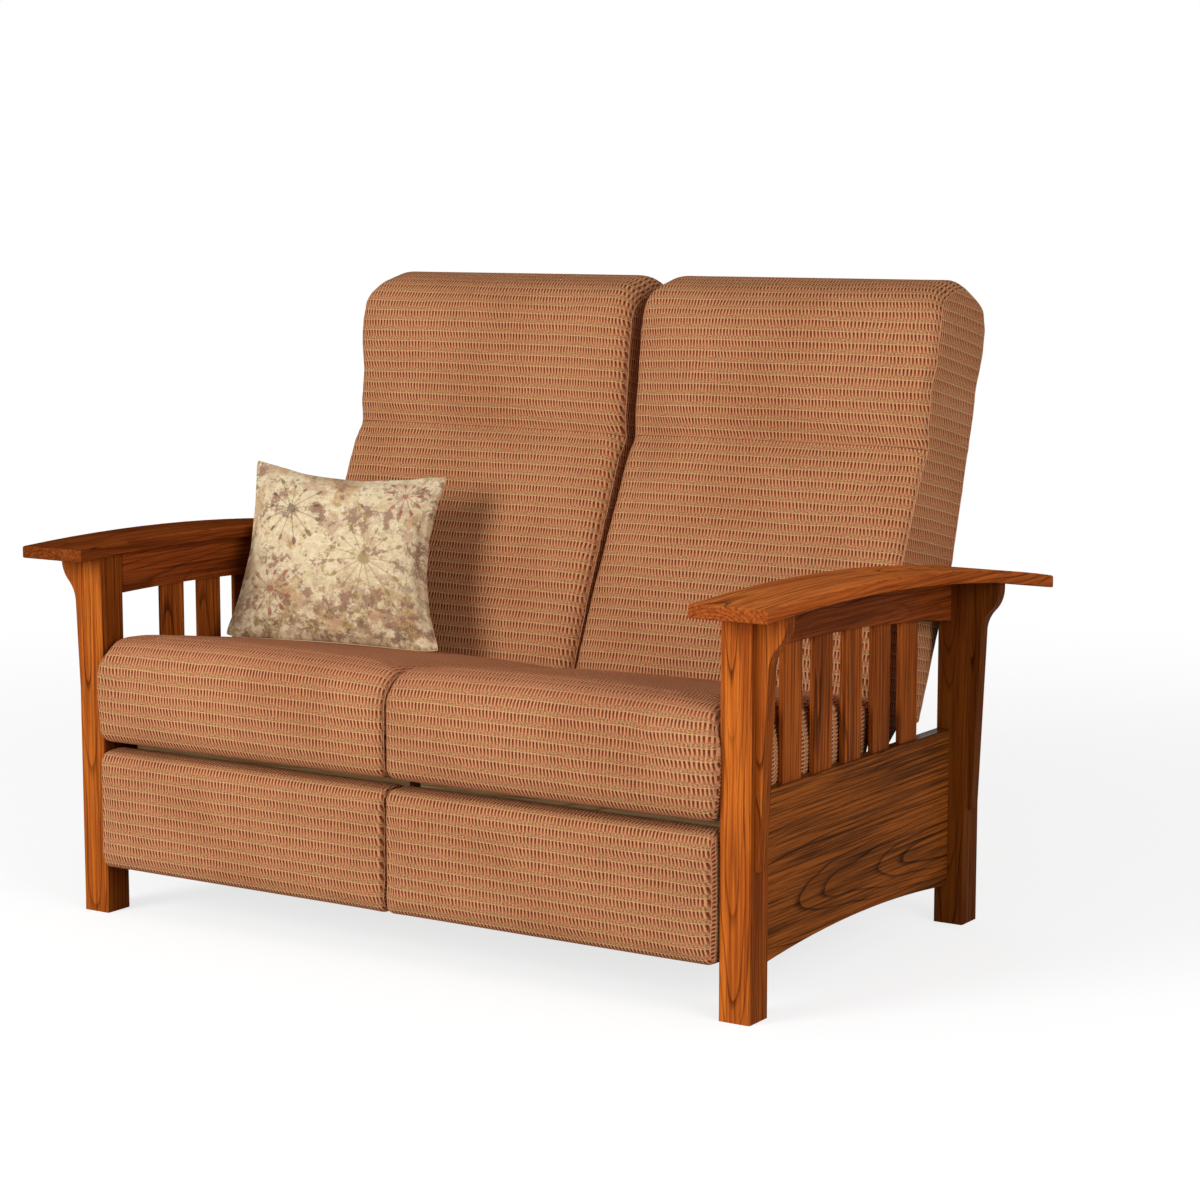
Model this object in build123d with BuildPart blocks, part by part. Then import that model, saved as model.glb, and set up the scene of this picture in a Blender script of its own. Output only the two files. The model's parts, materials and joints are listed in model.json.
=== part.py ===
from build123d import *
import math
import os

os.makedirs("parts", exist_ok=True)

# Mission reclining loveseat
# X runs along the seat to the viewer's right, Y runs to the back, Z is up.
# The origin is on the floor, midway between the arms and midway along them.
# All lengths are in millimetres and all angles in degrees.
# The right-hand seat and side are drawn, and the left-hand ones are their mirror images.

# Side frames
post_width = 54
post_depth = 56
arm_length = 1000
arm_width = 134
arm_thickness = 21
arm_front_height = 642
arm_rear_height = 585
arm_bow = 28
arm_front_overhang = 65
arm_rear_overhang = 152
arm_side_overhang = 63
arm_edge_round = 3.5
arm_under_round = 2.5
post_edge_chamfer = 2
board_edge_chamfer = 1.5
slat_edge_chamfer = 1
side_board_thickness = 24
top_rail_height = 70
side_panel_top = 338
side_panel_bottom = 66
side_panel_arch = 20
slat_count = 5
slat_width = 58
slat_gap = 41
slat_thickness = 10
corbel_thickness = 25
corbel_height = 392
corbel_reach = 50
corbel_waist = 19
corbel_lip = 12
corbel_scroll_height = 88

# Rails under the seats
stretcher_height = 70
stretcher_thickness = 22
stretcher_bottom = 95
front_stretcher_front = -172
rear_stretcher_front = 225
centre_rail_width = 32
centre_rail_height = 70
rail_front_margin = 15

# Seat tracks
track_height = 40
track_depth = 9
track_wall = 3.5
track_rear = 92
shoe_length = 64
shoe_clearance = 0.4
front_shoe_y = -150
rear_shoe_y = 42
seat_travel = 78

# Steel plates, links and pivots
plate_thickness = 4
plate_gap = 2
track_lip_gap = 1
pin_radius = 4
pin_clearance = 0.08
pin_head_radius = 7
pin_head_thickness = 1.4
pin_head_clearance = 0.3
link_width = 22
seat_flange_width = 16
seat_flange_thickness = 3

# Footrest linkage, seen from the side with the footrest closed
front_lift_pivot_y = -309
front_lift_pivot_z = 230
lift_pivot_run = 62
lift_pivot_drop = 13
lift_link_length = 157
lift_link_lean = 16
swing_pivot_run = 55
swing_pivot_rise = 27
footrest_pivot_y = -353
footrest_pivot_z = 240
drive_tube_radius = 12.5
drive_tube_wall = 2

# Seat frames
seat_width = 606
seat_spacing = 6
seat_side_clearance = 6
seat_frame_front = -367
seat_frame_rear = 80
seat_frame_bottom = 256
seat_frame_top = 300
seat_board_thickness = 22
webbing_width = 50
webbing_thickness = 2
long_strap_count = 4
cross_strap_count = 3

# Seat cushions
cushion_front = -457
cushion_front_top = 491
cushion_rear_top = 413
cushion_top_round = 62
cushion_nose_round = 26
cushion_edge_round = 8
cushion_crown = 7
cushion_side_draw = 12

# Footrests
footrest_bottom = 84
footrest_height = 206
footrest_pad_thickness = 65
footrest_board_thickness = 15
footrest_board_margin = 8
footrest_front_round = 20
footrest_rear_round = 5
footrest_crown = 4
footrest_side_draw = 8
bracket_width = 26
bracket_flange_width = 30
bracket_flange_height = 90
bracket_flange_thickness = 3

# Backs
back_narrowing = 12
back_spacing = 6
back_gap = 1.2
back_foot_y = 59
back_foot_z = 352
back_heel_y = 262
back_heel_z = 345
back_waist_y = 138
back_waist_z = 547
back_bulge_y = 252
back_bulge_z = 800
back_seam_y = 267
back_seam_z = 831
back_head_y = 264
back_head_z = 866
back_brow_y = 284
back_brow_z = 1000
back_crest_y = 303
back_crest_z = 1060
back_top_y = 462
back_top_z = 1100
back_nape_y = 482
back_nape_z = 1036
back_shoulder_y = 458
back_shoulder_z = 869
back_hip_y = 382
back_hip_z = 609
back_crest_round = 76
back_top_round = 42
back_seam_round = 4
back_curve_round = 30
back_edge_round = 10
back_corner_drop = 44
back_side_draw = 24

# Back frames and their hinges
hinge_y = 118
hinge_z = 290
hinge_plate_reach = 170
stile_width = 40
back_board_thickness = 20
back_frame_foot_y = 246
back_frame_foot_z = 372
back_frame_lean = 19
back_frame_height = 560
back_rail_width = 60

# Throw pillow
pillow_width = 370
pillow_height = 332
pillow_thickness = 130
pillow_edge = 7
pillow_turn = 18
pillow_tilt = 25
pillow_roll = 2
pillow_inset = 221
pillow_y = -92
pillow_clearance = 0.4
pillow_crown_share = 0.71


# Places that follow from the sizes
post_inner = seat_spacing / 2 + seat_width + seat_side_clearance
half_frame = post_inner + post_width
front_post_front = -arm_length / 2 + arm_front_overhang
front_post_rear = front_post_front + post_depth
rear_post_rear = arm_length / 2 - arm_rear_overhang
rear_post_front = rear_post_rear - post_depth
arm_inner = half_frame + arm_side_overhang - arm_width
back_width = seat_width - back_narrowing
seat_x = (seat_spacing + seat_width) / 2
back_x = (back_spacing + back_width) / 2
seat_middle = Plane.YZ.offset(seat_x)


# The bow of the arms
# The arm's top is one arc over its length, and its underside and the rail are parallel to it.
bow_half_chord = math.hypot(arm_length, arm_front_height - arm_rear_height) / 2
bow_radius = (bow_half_chord**2 + arm_bow**2) / (2 * arm_bow)
bow_slope = math.atan2(arm_front_height - arm_rear_height, arm_length)
bow_centre_y = -(bow_radius - arm_bow) * math.sin(bow_slope)
bow_centre_z = (arm_front_height + arm_rear_height) / 2 - (bow_radius - arm_bow) * math.cos(bow_slope)


def bow_height(y, depth):
    """Height of the bow at y, measured this far below the arm's top surface."""
    return bow_centre_z + math.sqrt((bow_radius - depth) ** 2 - (y - bow_centre_y) ** 2)


def bow_arc(rear, front, depth):
    """Arc of the bow from rear to front, on a sketch of the side view."""
    middle = (rear + front) / 2
    return ThreePointArc(
        (rear, bow_height(rear, depth)),
        (middle, bow_height(middle, depth)),
        (front, bow_height(front, depth)),
    )


def save(piece, name):
    """Write one piece under its own name."""
    piece.label = name
    export_step(piece, f"parts/{name}.step")


def save_pair(piece, name):
    """Write a right-hand piece and its left-hand mirror image."""
    save(mirror(piece, about=Plane.YZ), f"left_{name}")
    save(piece, f"right_{name}")


def save_corner_pair(piece, end, name):
    """Write a piece of one end of the side frame for both sides."""
    save(mirror(piece, about=Plane.YZ), f"{end}_left_{name}")
    save(piece, f"{end}_right_{name}")


# Arms
with BuildPart() as arm:
    with BuildSketch(Plane.YZ.offset(arm_inner)):
        with BuildLine():
            bow_arc(arm_length / 2, -arm_length / 2, 0)
            Line(
                (-arm_length / 2, bow_height(-arm_length / 2, 0)),
                (-arm_length / 2, bow_height(-arm_length / 2, arm_thickness)),
            )
            bow_arc(-arm_length / 2, arm_length / 2, arm_thickness)
            Line(
                (arm_length / 2, bow_height(arm_length / 2, arm_thickness)),
                (arm_length / 2, bow_height(arm_length / 2, 0)),
            )
        make_face()
    extrude(amount=arm_width)
    fillet(arm.faces().filter_by(GeomType.CYLINDER).sort_by(Axis.Z)[-1].edges(), radius=arm_edge_round)
    underside = arm.faces().filter_by(GeomType.CYLINDER).sort_by(SortBy.AREA)[-1]
    fillet(underside.edges(), radius=arm_under_round)
save_pair(arm.part, "arm")


def post_under_bow(front):
    """A square post whose top is cut to the underside of the arm."""
    rear = front + post_depth
    with BuildPart() as post:
        with BuildSketch(Plane.YZ.offset(post_inner)):
            with BuildLine():
                Polyline(
                    (front, bow_height(front, arm_thickness)),
                    (front, 0),
                    (rear, 0),
                    (rear, bow_height(rear, arm_thickness)),
                )
                bow_arc(rear, front, arm_thickness)
            make_face()
        extrude(amount=post_width)
        chamfer(post.edges().filter_by(Axis.Z), length=post_edge_chamfer)
    return post.part


save_corner_pair(post_under_bow(front_post_front), "front", "post")
save_corner_pair(post_under_bow(rear_post_front), "rear", "post")


# Top rails, bowed like the arms above them
with BuildPart() as top_rail:
    with BuildSketch(Plane.YZ.offset(post_inner)):
        with BuildLine():
            bow_arc(rear_post_front, front_post_rear, arm_thickness)
            Line(
                (front_post_rear, bow_height(front_post_rear, arm_thickness)),
                (front_post_rear, bow_height(front_post_rear, arm_thickness + top_rail_height)),
            )
            bow_arc(front_post_rear, rear_post_front, arm_thickness + top_rail_height)
            Line(
                (rear_post_front, bow_height(rear_post_front, arm_thickness + top_rail_height)),
                (rear_post_front, bow_height(rear_post_front, arm_thickness)),
            )
        make_face()
    extrude(amount=side_board_thickness)
save_pair(top_rail.part, "top_rail")


# Side panels, with a shallow arch along the bottom
panel_middle = (front_post_rear + rear_post_front) / 2
with BuildPart() as side_panel:
    with BuildSketch(Plane.YZ.offset(post_inner)):
        with BuildLine():
            ThreePointArc(
                (front_post_rear, side_panel_bottom),
                (panel_middle, side_panel_bottom + side_panel_arch),
                (rear_post_front, side_panel_bottom),
            )
            Polyline(
                (rear_post_front, side_panel_bottom),
                (rear_post_front, side_panel_top),
                (front_post_rear, side_panel_top),
                (front_post_rear, side_panel_bottom),
            )
        make_face()
    extrude(amount=side_board_thickness)
    panel_top_edges = side_panel.edges().filter_by(Axis.Y).group_by(Axis.Z)[-1]
    chamfer(panel_top_edges, length=board_edge_chamfer)
save_pair(side_panel.part, "side_panel")


# Slats, housed between the side panel and the top rail
slat_inner = post_inner + (side_board_thickness - slat_thickness) / 2
slat_row_length = slat_count * slat_width + (slat_count - 1) * slat_gap
for number in range(slat_count):
    slat_front = panel_middle - slat_row_length / 2 + number * (slat_width + slat_gap)
    slat_rear = slat_front + slat_width
    with BuildPart() as slat:
        with BuildSketch(Plane.YZ.offset(slat_inner)):
            with BuildLine():
                Polyline(
                    (slat_front, bow_height(slat_front, arm_thickness + top_rail_height)),
                    (slat_front, side_panel_top),
                    (slat_rear, side_panel_top),
                    (slat_rear, bow_height(slat_rear, arm_thickness + top_rail_height)),
                )
                bow_arc(slat_rear, slat_front, arm_thickness + top_rail_height)
            make_face()
        extrude(amount=slat_thickness)
        chamfer(slat.edges().filter_by(Axis.Z), length=slat_edge_chamfer)
    save_pair(slat.part, f"slat_{number + 1}")


def corbel_on_post(post_front):
    """A scrolled bracket on the post's outer face, cut to the underside of the arm."""
    middle = post_front + post_depth / 2
    top = max(
        bow_height(middle - corbel_thickness / 2, arm_thickness),
        bow_height(middle + corbel_thickness / 2, arm_thickness),
    )
    foot = top - corbel_height
    scroll = top - corbel_scroll_height
    with BuildPart() as corbel:
        with BuildSketch(Plane.XZ.offset(-middle - corbel_thickness / 2)):
            with BuildLine():
                Polyline(
                    (half_frame + corbel_waist, scroll),
                    (half_frame + corbel_lip / 2, foot),
                    (half_frame, foot),
                    (half_frame, top),
                    (half_frame + corbel_reach, top),
                    (half_frame + corbel_reach, top - corbel_lip),
                )
                TangentArc(
                    (half_frame + corbel_reach, top - corbel_lip),
                    (half_frame + (corbel_reach + corbel_waist) / 2, (top - corbel_lip + scroll) / 2),
                    tangent=(0, -1),
                )
                TangentArc(
                    (half_frame + corbel_waist, scroll),
                    (half_frame + (corbel_reach + corbel_waist) / 2, (top - corbel_lip + scroll) / 2),
                    tangent=(0, 1),
                )
            make_face()
        extrude(amount=corbel_thickness)
        with BuildSketch(Plane.YZ.offset(half_frame)):
            with BuildLine():
                near = middle - corbel_thickness
                far = middle + corbel_thickness
                Polyline(
                    (near, bow_height(near, arm_thickness)),
                    (near, bow_height(near, 0)),
                    (far, bow_height(far, 0)),
                    (far, bow_height(far, arm_thickness)),
                )
                bow_arc(far, near, arm_thickness)
            make_face()
        extrude(amount=arm_width, mode=Mode.SUBTRACT)
    return corbel.part


save_corner_pair(corbel_on_post(front_post_front), "front", "corbel")
save_corner_pair(corbel_on_post(rear_post_front), "rear", "corbel")


def stretcher(front):
    """A rail on edge from one side panel to the other."""
    with BuildPart() as rail:
        with BuildSketch(Plane.XY.offset(stretcher_bottom)):
            with Locations((0, front + stretcher_thickness / 2)):
                Rectangle(2 * post_inner, stretcher_thickness)
        extrude(amount=stretcher_height)
    return rail.part


save(stretcher(front_stretcher_front), "front_stretcher")
save(stretcher(rear_stretcher_front), "rear_stretcher")


# Centre rail and side cleats, which lie on the stretchers and carry the seat tracks
centre_rail_front = front_shoe_y - seat_travel - shoe_length / 2 - rail_front_margin
rail_bottom = stretcher_bottom + stretcher_height
rail_rear = rear_stretcher_front + stretcher_thickness
rail_length = rail_rear - centre_rail_front
rail_middle = (rail_rear + centre_rail_front) / 2
track_face = seat_x - centre_rail_width / 2
with BuildPart() as centre_rail:
    with BuildSketch(Plane.XY.offset(rail_bottom)):
        with Locations((0, rail_middle)):
            Rectangle(centre_rail_width, rail_length)
    extrude(amount=centre_rail_height)
save(centre_rail.part, "centre_rail")

cleat_thickness = post_inner - seat_x - track_face
with BuildPart() as side_cleats:
    with BuildSketch(Plane.XY.offset(rail_bottom)):
        with Locations((post_inner - cleat_thickness / 2, rail_middle)):
            Rectangle(cleat_thickness, rail_length)
    extrude(amount=centre_rail_height)
    mirror(about=Plane.YZ)
save(side_cleats.part, "side_cleats")


# Seat tracks: steel channels that open towards the seat they carry
track_bottom = rail_bottom + (centre_rail_height - track_height) / 2 + track_wall
with BuildPart() as base_tracks:
    with BuildSketch(Plane.XZ.offset(-track_rear)):
        with BuildLine():
            Polyline(
                (seat_x + track_face, track_bottom),
                (seat_x + track_face, track_bottom + track_height),
                (seat_x + track_face - track_depth, track_bottom + track_height),
                (seat_x + track_face - track_depth, track_bottom + track_height - track_wall),
                (seat_x + track_face - track_wall, track_bottom + track_height - track_wall),
                (seat_x + track_face - track_wall, track_bottom + track_wall),
                (seat_x + track_face - track_depth, track_bottom + track_wall),
                (seat_x + track_face - track_depth, track_bottom),
                close=True,
            )
        make_face()
    extrude(amount=track_rear - centre_rail_front)
    mirror(about=seat_middle)
    mirror(about=Plane.YZ)
save(base_tracks.part, "base_tracks")


# Steel layers
# Each seat's plates and links lie in layers, counted inwards from the track.
plate_outer = track_face - track_depth - track_lip_gap
layer_pitch = plate_thickness + plate_gap


def layer_face(layer):
    """X of the outer face of a steel layer, on the side away from the middle of the couch."""
    return seat_x + plate_outer - layer * layer_pitch


front_lift = (front_lift_pivot_y, front_lift_pivot_z)
rear_lift = (front_lift_pivot_y + lift_pivot_run, front_lift_pivot_z - lift_pivot_drop)
link_run = lift_link_length * math.sin(math.radians(lift_link_lean))
link_drop = lift_link_length * math.cos(math.radians(lift_link_lean))
front_coupler = (front_lift[0] + link_run, front_lift[1] - link_drop)
rear_coupler = (rear_lift[0] + link_run, rear_lift[1] - link_drop)
swing_pivot = (front_coupler[0] - swing_pivot_run, front_coupler[1] + swing_pivot_rise)
footrest_pivot = (footrest_pivot_y, footrest_pivot_z)
back_hinge = (hinge_y, hinge_z)


def link_plate(layer, joints, holes, width=link_width):
    """A flat steel link round its joints, with a hole at each joint that a pin passes through."""
    with BuildPart() as link:
        with BuildSketch(Plane.YZ.offset(layer_face(layer))):
            with Locations(*joints):
                Circle(width / 2)
            make_hull()
            with Locations(*holes):
                Circle(pin_radius + pin_clearance, mode=Mode.SUBTRACT)
        extrude(amount=-plate_thickness)
    return link.part


def pin_through(layer, joints, outwards=False):
    """Headed pins fixed in a plate of this layer, through the next layer on one side."""
    shank = plate_gap + plate_thickness + pin_head_clearance
    face = layer_face(layer) if outwards else layer_face(layer) - plate_thickness
    step = 1 if outwards else -1
    with BuildPart() as pins:
        with BuildSketch(Plane.YZ.offset(face)):
            with Locations(*joints):
                Circle(pin_radius)
        extrude(amount=step * shank)
        with BuildSketch(Plane.YZ.offset(face + step * shank)):
            with Locations(*joints):
                Circle(pin_head_radius)
        extrude(amount=step * pin_head_thickness)
    return pins.part


# Seat plates, with the shoes that run in the tracks and the pins for the links and the back
plate_top = seat_frame_bottom - seat_flange_thickness
plate_bottom = track_bottom + track_wall
ear_top = hinge_z + link_width * 2 / 3
ear_front = hinge_y - link_width * 2 / 3
ear_rear = hinge_y + link_width * 2 / 3
shoe_height = track_height - 2 * (track_wall + shoe_clearance)
shoe_depth = track_lip_gap + track_depth - track_wall - shoe_clearance
with BuildPart() as seat_plates:
    with BuildSketch(Plane.YZ.offset(layer_face(0))):
        with BuildLine():
            Polyline(
                (front_lift[0] - link_width, plate_top),
                (front_lift[0] - link_width, front_lift[1] - link_width),
                (rear_lift[0] - link_width / 2, plate_bottom),
                (rear_shoe_y + shoe_length / 2, plate_bottom),
                (ear_rear, hinge_z - link_width),
                (ear_rear, ear_top),
                (ear_front, ear_top),
                (seat_frame_rear + link_width / 2, plate_top),
                close=True,
            )
        make_face()
    extrude(amount=-plate_thickness)
    with BuildSketch(Plane.XY.offset(plate_top)):
        with Locations((layer_face(0) - plate_thickness, seat_frame_rear)):
            Rectangle(
                seat_flange_width,
                seat_frame_rear - front_lift[0],
                align=(Align.MIN, Align.MAX),
            )
    extrude(amount=seat_flange_thickness)
    with BuildSketch(Plane.YZ.offset(layer_face(0))):
        with Locations(
            (front_shoe_y, track_bottom + track_height / 2),
            (rear_shoe_y, track_bottom + track_height / 2),
        ):
            Rectangle(shoe_length, shoe_height)
    extrude(amount=shoe_depth)
    add(pin_through(0, [front_lift, rear_lift, back_hinge]))
    mirror(about=seat_middle)
save_pair(seat_plates.part, "seat_plates")


# Lift links, parallel and equal, so that the coupler they carry keeps its angle
with BuildPart() as front_lift_links:
    add(link_plate(1, [front_lift, front_coupler], [front_lift, front_coupler]))
    mirror(about=seat_middle)
save_pair(front_lift_links.part, "front_lift_links")

with BuildPart() as rear_lift_links:
    add(link_plate(1, [rear_lift, rear_coupler], [rear_lift, rear_coupler]))
    mirror(about=seat_middle)
save_pair(rear_lift_links.part, "rear_lift_links")


# Drive tube, which joins the two rear lift links across the seat
tube_end = layer_face(1) - plate_thickness
with BuildPart() as drive_tube:
    with BuildSketch(Plane.YZ.offset(tube_end)):
        with Locations(rear_lift):
            Circle(drive_tube_radius)
            Circle(drive_tube_radius - drive_tube_wall, mode=Mode.SUBTRACT)
    extrude(amount=-2 * (tube_end - seat_x))
save_pair(drive_tube.part, "drive_tube")


# Couplers, on the two lift links, which carry the swing links
with BuildPart() as coupler_links:
    add(link_plate(2, [rear_coupler, front_coupler, swing_pivot], []))
    add(pin_through(2, [rear_coupler, front_coupler], outwards=True))
    add(pin_through(2, [swing_pivot]))
    mirror(about=seat_middle)
save_pair(coupler_links.part, "coupler_links")


# Swing links, from the couplers to the footrest brackets
with BuildPart() as swing_links:
    add(link_plate(3, [swing_pivot, footrest_pivot], [swing_pivot]))
    add(pin_through(3, [footrest_pivot]))
    mirror(about=seat_middle)
save_pair(swing_links.part, "swing_links")


# Footrest pads
# A padded form is a loft of side profiles. Each station gives its place as a share of the
# half width, and how much of the side draw and of the crown it has there.
pad_station_shares = [(1, 1, 0), (0.975, 0.36, 0), (0.92, 0.08, 0.1), (0.6, 0, 0.7), (0, 0, 1)]


def stations(half_width):
    """Offset from the middle, draw share and crown share of each profile, from side to side."""
    right = [(share * half_width, draw, crown) for share, draw, crown in pad_station_shares]
    left = [(-offset, draw, crown) for offset, draw, crown in right[:-1]]
    return left + right[::-1]


footrest_top = footrest_bottom + footrest_height
footrest_rear = cushion_front + footrest_pad_thickness
with BuildPart() as footrest_pad:
    for offset, draw, crown in stations(seat_width / 2):
        inset = draw * footrest_side_draw
        front = cushion_front + (1 - crown) * footrest_crown + inset
        with BuildSketch(Plane.YZ.offset(seat_x + offset)):
            with BuildLine():
                FilletPolyline(
                    (front, footrest_bottom + inset / 2),
                    (footrest_rear, footrest_bottom + inset / 2),
                    (footrest_rear, footrest_top - inset / 2),
                    (front, footrest_top - inset / 2),
                    radius=[
                        footrest_front_round,
                        footrest_rear_round,
                        footrest_rear_round,
                        footrest_front_round,
                    ],
                    close=True,
                )
            make_face()
    loft(ruled=True)
save_pair(footrest_pad.part, "footrest_pad")

board_rear = footrest_rear + footrest_board_thickness
with BuildPart() as footrest_board:
    with BuildSketch(Plane.XZ.offset(-board_rear)):
        with Locations((seat_x, footrest_bottom + footrest_height / 2)):
            RectangleRounded(
                seat_width - 2 * footrest_board_margin,
                footrest_height - 2 * footrest_board_margin,
                radius=footrest_board_margin,
            )
    extrude(amount=footrest_board_thickness)
save_pair(footrest_board.part, "footrest_board")


# Footrest brackets, screwed to the back of the board and hinged on the swing links
with BuildPart() as footrest_brackets:
    with BuildSketch(Plane.YZ.offset(layer_face(4))):
        with Locations(footrest_pivot):
            Circle(link_width / 2)
        with Locations((board_rear, footrest_pivot_z)):
            Rectangle(bracket_flange_thickness, bracket_width, align=(Align.MIN, Align.CENTER))
        make_hull()
        with Locations(footrest_pivot):
            Circle(pin_radius + pin_clearance, mode=Mode.SUBTRACT)
    extrude(amount=-plate_thickness)
    with BuildSketch(Plane.XZ.offset(-board_rear - bracket_flange_thickness)):
        with Locations((layer_face(4), footrest_pivot_z + bracket_width / 2)):
            Rectangle(
                bracket_flange_width,
                bracket_flange_height,
                align=(Align.MAX, Align.MAX),
            )
    extrude(amount=bracket_flange_thickness)
    mirror(about=seat_middle)
save_pair(footrest_brackets.part, "footrest_brackets")


# Seat frames: four boards on edge
seat_board_outer = plate_outer - plate_thickness + seat_flange_width + seat_flange_thickness
seat_board_inner = seat_board_outer - seat_board_thickness
seat_frame_length = seat_frame_rear - seat_frame_front
seat_frame_height = seat_frame_top - seat_frame_bottom
seat_frame_middle = (seat_frame_front + seat_frame_rear) / 2
with BuildPart() as seat_frame:
    with BuildSketch(Plane.XY.offset(seat_frame_bottom)):
        with Locations(
            (seat_x + seat_board_outer - seat_board_thickness / 2, seat_frame_middle),
            (seat_x - seat_board_outer + seat_board_thickness / 2, seat_frame_middle),
        ):
            Rectangle(seat_board_thickness, seat_frame_length)
    extrude(amount=seat_frame_height)
with BuildPart() as seat_cross_boards:
    with BuildSketch(Plane.XY.offset(seat_frame_bottom)):
        with Locations(
            (seat_x, seat_frame_front + seat_board_thickness / 2),
            (seat_x, seat_frame_rear - seat_board_thickness / 2),
        ):
            Rectangle(2 * seat_board_inner, seat_board_thickness)
    extrude(amount=seat_frame_height)
seat_boards = Compound(children=[*seat_frame.part.solids(), *seat_cross_boards.part.solids()])
save_pair(seat_boards, "seat_frame")


# Seat webbing: straps from front to back, with cross straps over them
strap_pitch = 2 * seat_board_inner / long_strap_count
cross_pitch = seat_frame_length / cross_strap_count
with BuildPart() as long_straps:
    with BuildSketch(Plane.XY.offset(seat_frame_top)):
        with Locations((seat_x, seat_frame_middle)):
            with GridLocations(strap_pitch, seat_frame_length, long_strap_count, 1):
                Rectangle(webbing_width, seat_frame_length)
    extrude(amount=webbing_thickness)
with BuildPart() as cross_straps:
    with BuildSketch(Plane.XY.offset(seat_frame_top + webbing_thickness)):
        with Locations((seat_x, seat_frame_middle)):
            with GridLocations(seat_width, cross_pitch, 1, cross_strap_count):
                Rectangle(2 * seat_board_outer, webbing_width)
    extrude(amount=webbing_thickness)
seat_straps = Compound(children=[*long_straps.part.solids(), *cross_straps.part.solids()])
save_pair(seat_straps, "seat_webbing")


# Seat cushions, with a rolled front edge, a crown and drawn-in sides
cushion_bottom = seat_frame_top + 2 * webbing_thickness
back_foot_slope = (back_waist_y - back_foot_y) / (back_waist_z - back_foot_z)


def back_front_y(z):
    """Y of the back's front face low down, where the seat cushion meets it."""
    return back_foot_y + (z - back_foot_z) * back_foot_slope


with BuildPart() as seat_cushion:
    for offset, draw, crown in stations(seat_width / 2):
        inset = draw * cushion_side_draw
        front = cushion_front + inset
        lift = crown * cushion_crown - inset
        rear_top = cushion_rear_top + lift
        with BuildSketch(Plane.YZ.offset(seat_x + offset)):
            with BuildLine():
                FilletPolyline(
                    (front, cushion_bottom),
                    (back_front_y(cushion_bottom) - back_gap, cushion_bottom),
                    (back_front_y(rear_top) - back_gap, rear_top),
                    (front, cushion_front_top + lift),
                    radius=[
                        cushion_nose_round,
                        cushion_edge_round,
                        cushion_edge_round,
                        cushion_top_round,
                    ],
                    close=True,
                )
            make_face()
    loft(ruled=True)
save_pair(seat_cushion.part, "seat_cushion")


# Back frames: a ladder of boards inside the padding
frame_plane = Plane(
    origin=(back_x, back_frame_foot_y, back_frame_foot_z),
    x_dir=(1, 0, 0),
    z_dir=(0, -math.cos(math.radians(back_frame_lean)), math.sin(math.radians(back_frame_lean))),
)
hinge_inner = layer_face(1) - plate_thickness
stile_outer_right = hinge_inner - back_x
stile_outer_left = 2 * seat_x - hinge_inner - back_x
ladder_middle = (stile_outer_right + stile_outer_left) / 2
rung_length = stile_outer_right - stile_outer_left - 2 * stile_width
with BuildPart() as back_stiles:
    with BuildSketch(frame_plane):
        with Locations(
            (stile_outer_right - stile_width / 2, back_frame_height / 2),
            (stile_outer_left + stile_width / 2, back_frame_height / 2),
        ):
            Rectangle(stile_width, back_frame_height)
    extrude(amount=back_board_thickness)
with BuildPart() as back_rungs:
    with BuildSketch(frame_plane):
        with Locations(
            (ladder_middle, back_rail_width / 2),
            (ladder_middle, back_frame_height / 2),
            (ladder_middle, back_frame_height - back_rail_width / 2),
        ):
            Rectangle(rung_length, back_rail_width)
    extrude(amount=back_board_thickness)
back_boards = Compound(children=[*back_stiles.part.solids(), *back_rungs.part.solids()])
save_pair(back_boards, "back_frame")


# Back hinges: cranked plates from the hinge pins to the outer faces of the back frame
stile_axis_y = math.sin(math.radians(back_frame_lean))
stile_axis_z = math.cos(math.radians(back_frame_lean))
board_middle_y = back_frame_foot_y - back_board_thickness / 2 * stile_axis_z
board_middle_z = back_frame_foot_z + back_board_thickness / 2 * stile_axis_y
plate_heel = (board_middle_y, board_middle_z)
plate_tip = (
    board_middle_y + hinge_plate_reach * stile_axis_y,
    board_middle_z + hinge_plate_reach * stile_axis_z,
)
with BuildPart() as back_hinges:
    add(link_plate(1, [back_hinge, plate_heel], [back_hinge]))
    add(link_plate(1, [plate_heel, plate_tip], []))
    mirror(about=seat_middle)
save_pair(back_hinges.part, "back_hinges")


# Back cushions, with a creased seam under the headrest and rounded top corners
back_station_shares = [
    (1, 1, 1),
    (0.97, 0.36, 0.6),
    (0.93, 0.12, 0.3),
    (0.88, 0.02, 0.1),
    (0.79, 0, 0),
    (0, 0, 0),
]


def back_stations(half_width):
    """Offset from the middle, side draw share and corner drop share of each profile."""
    right = [(share * half_width, draw, drop) for share, draw, drop in back_station_shares]
    left = [(-offset, draw, drop) for offset, draw, drop in right[:-1]]
    return left + right[::-1]


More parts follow.
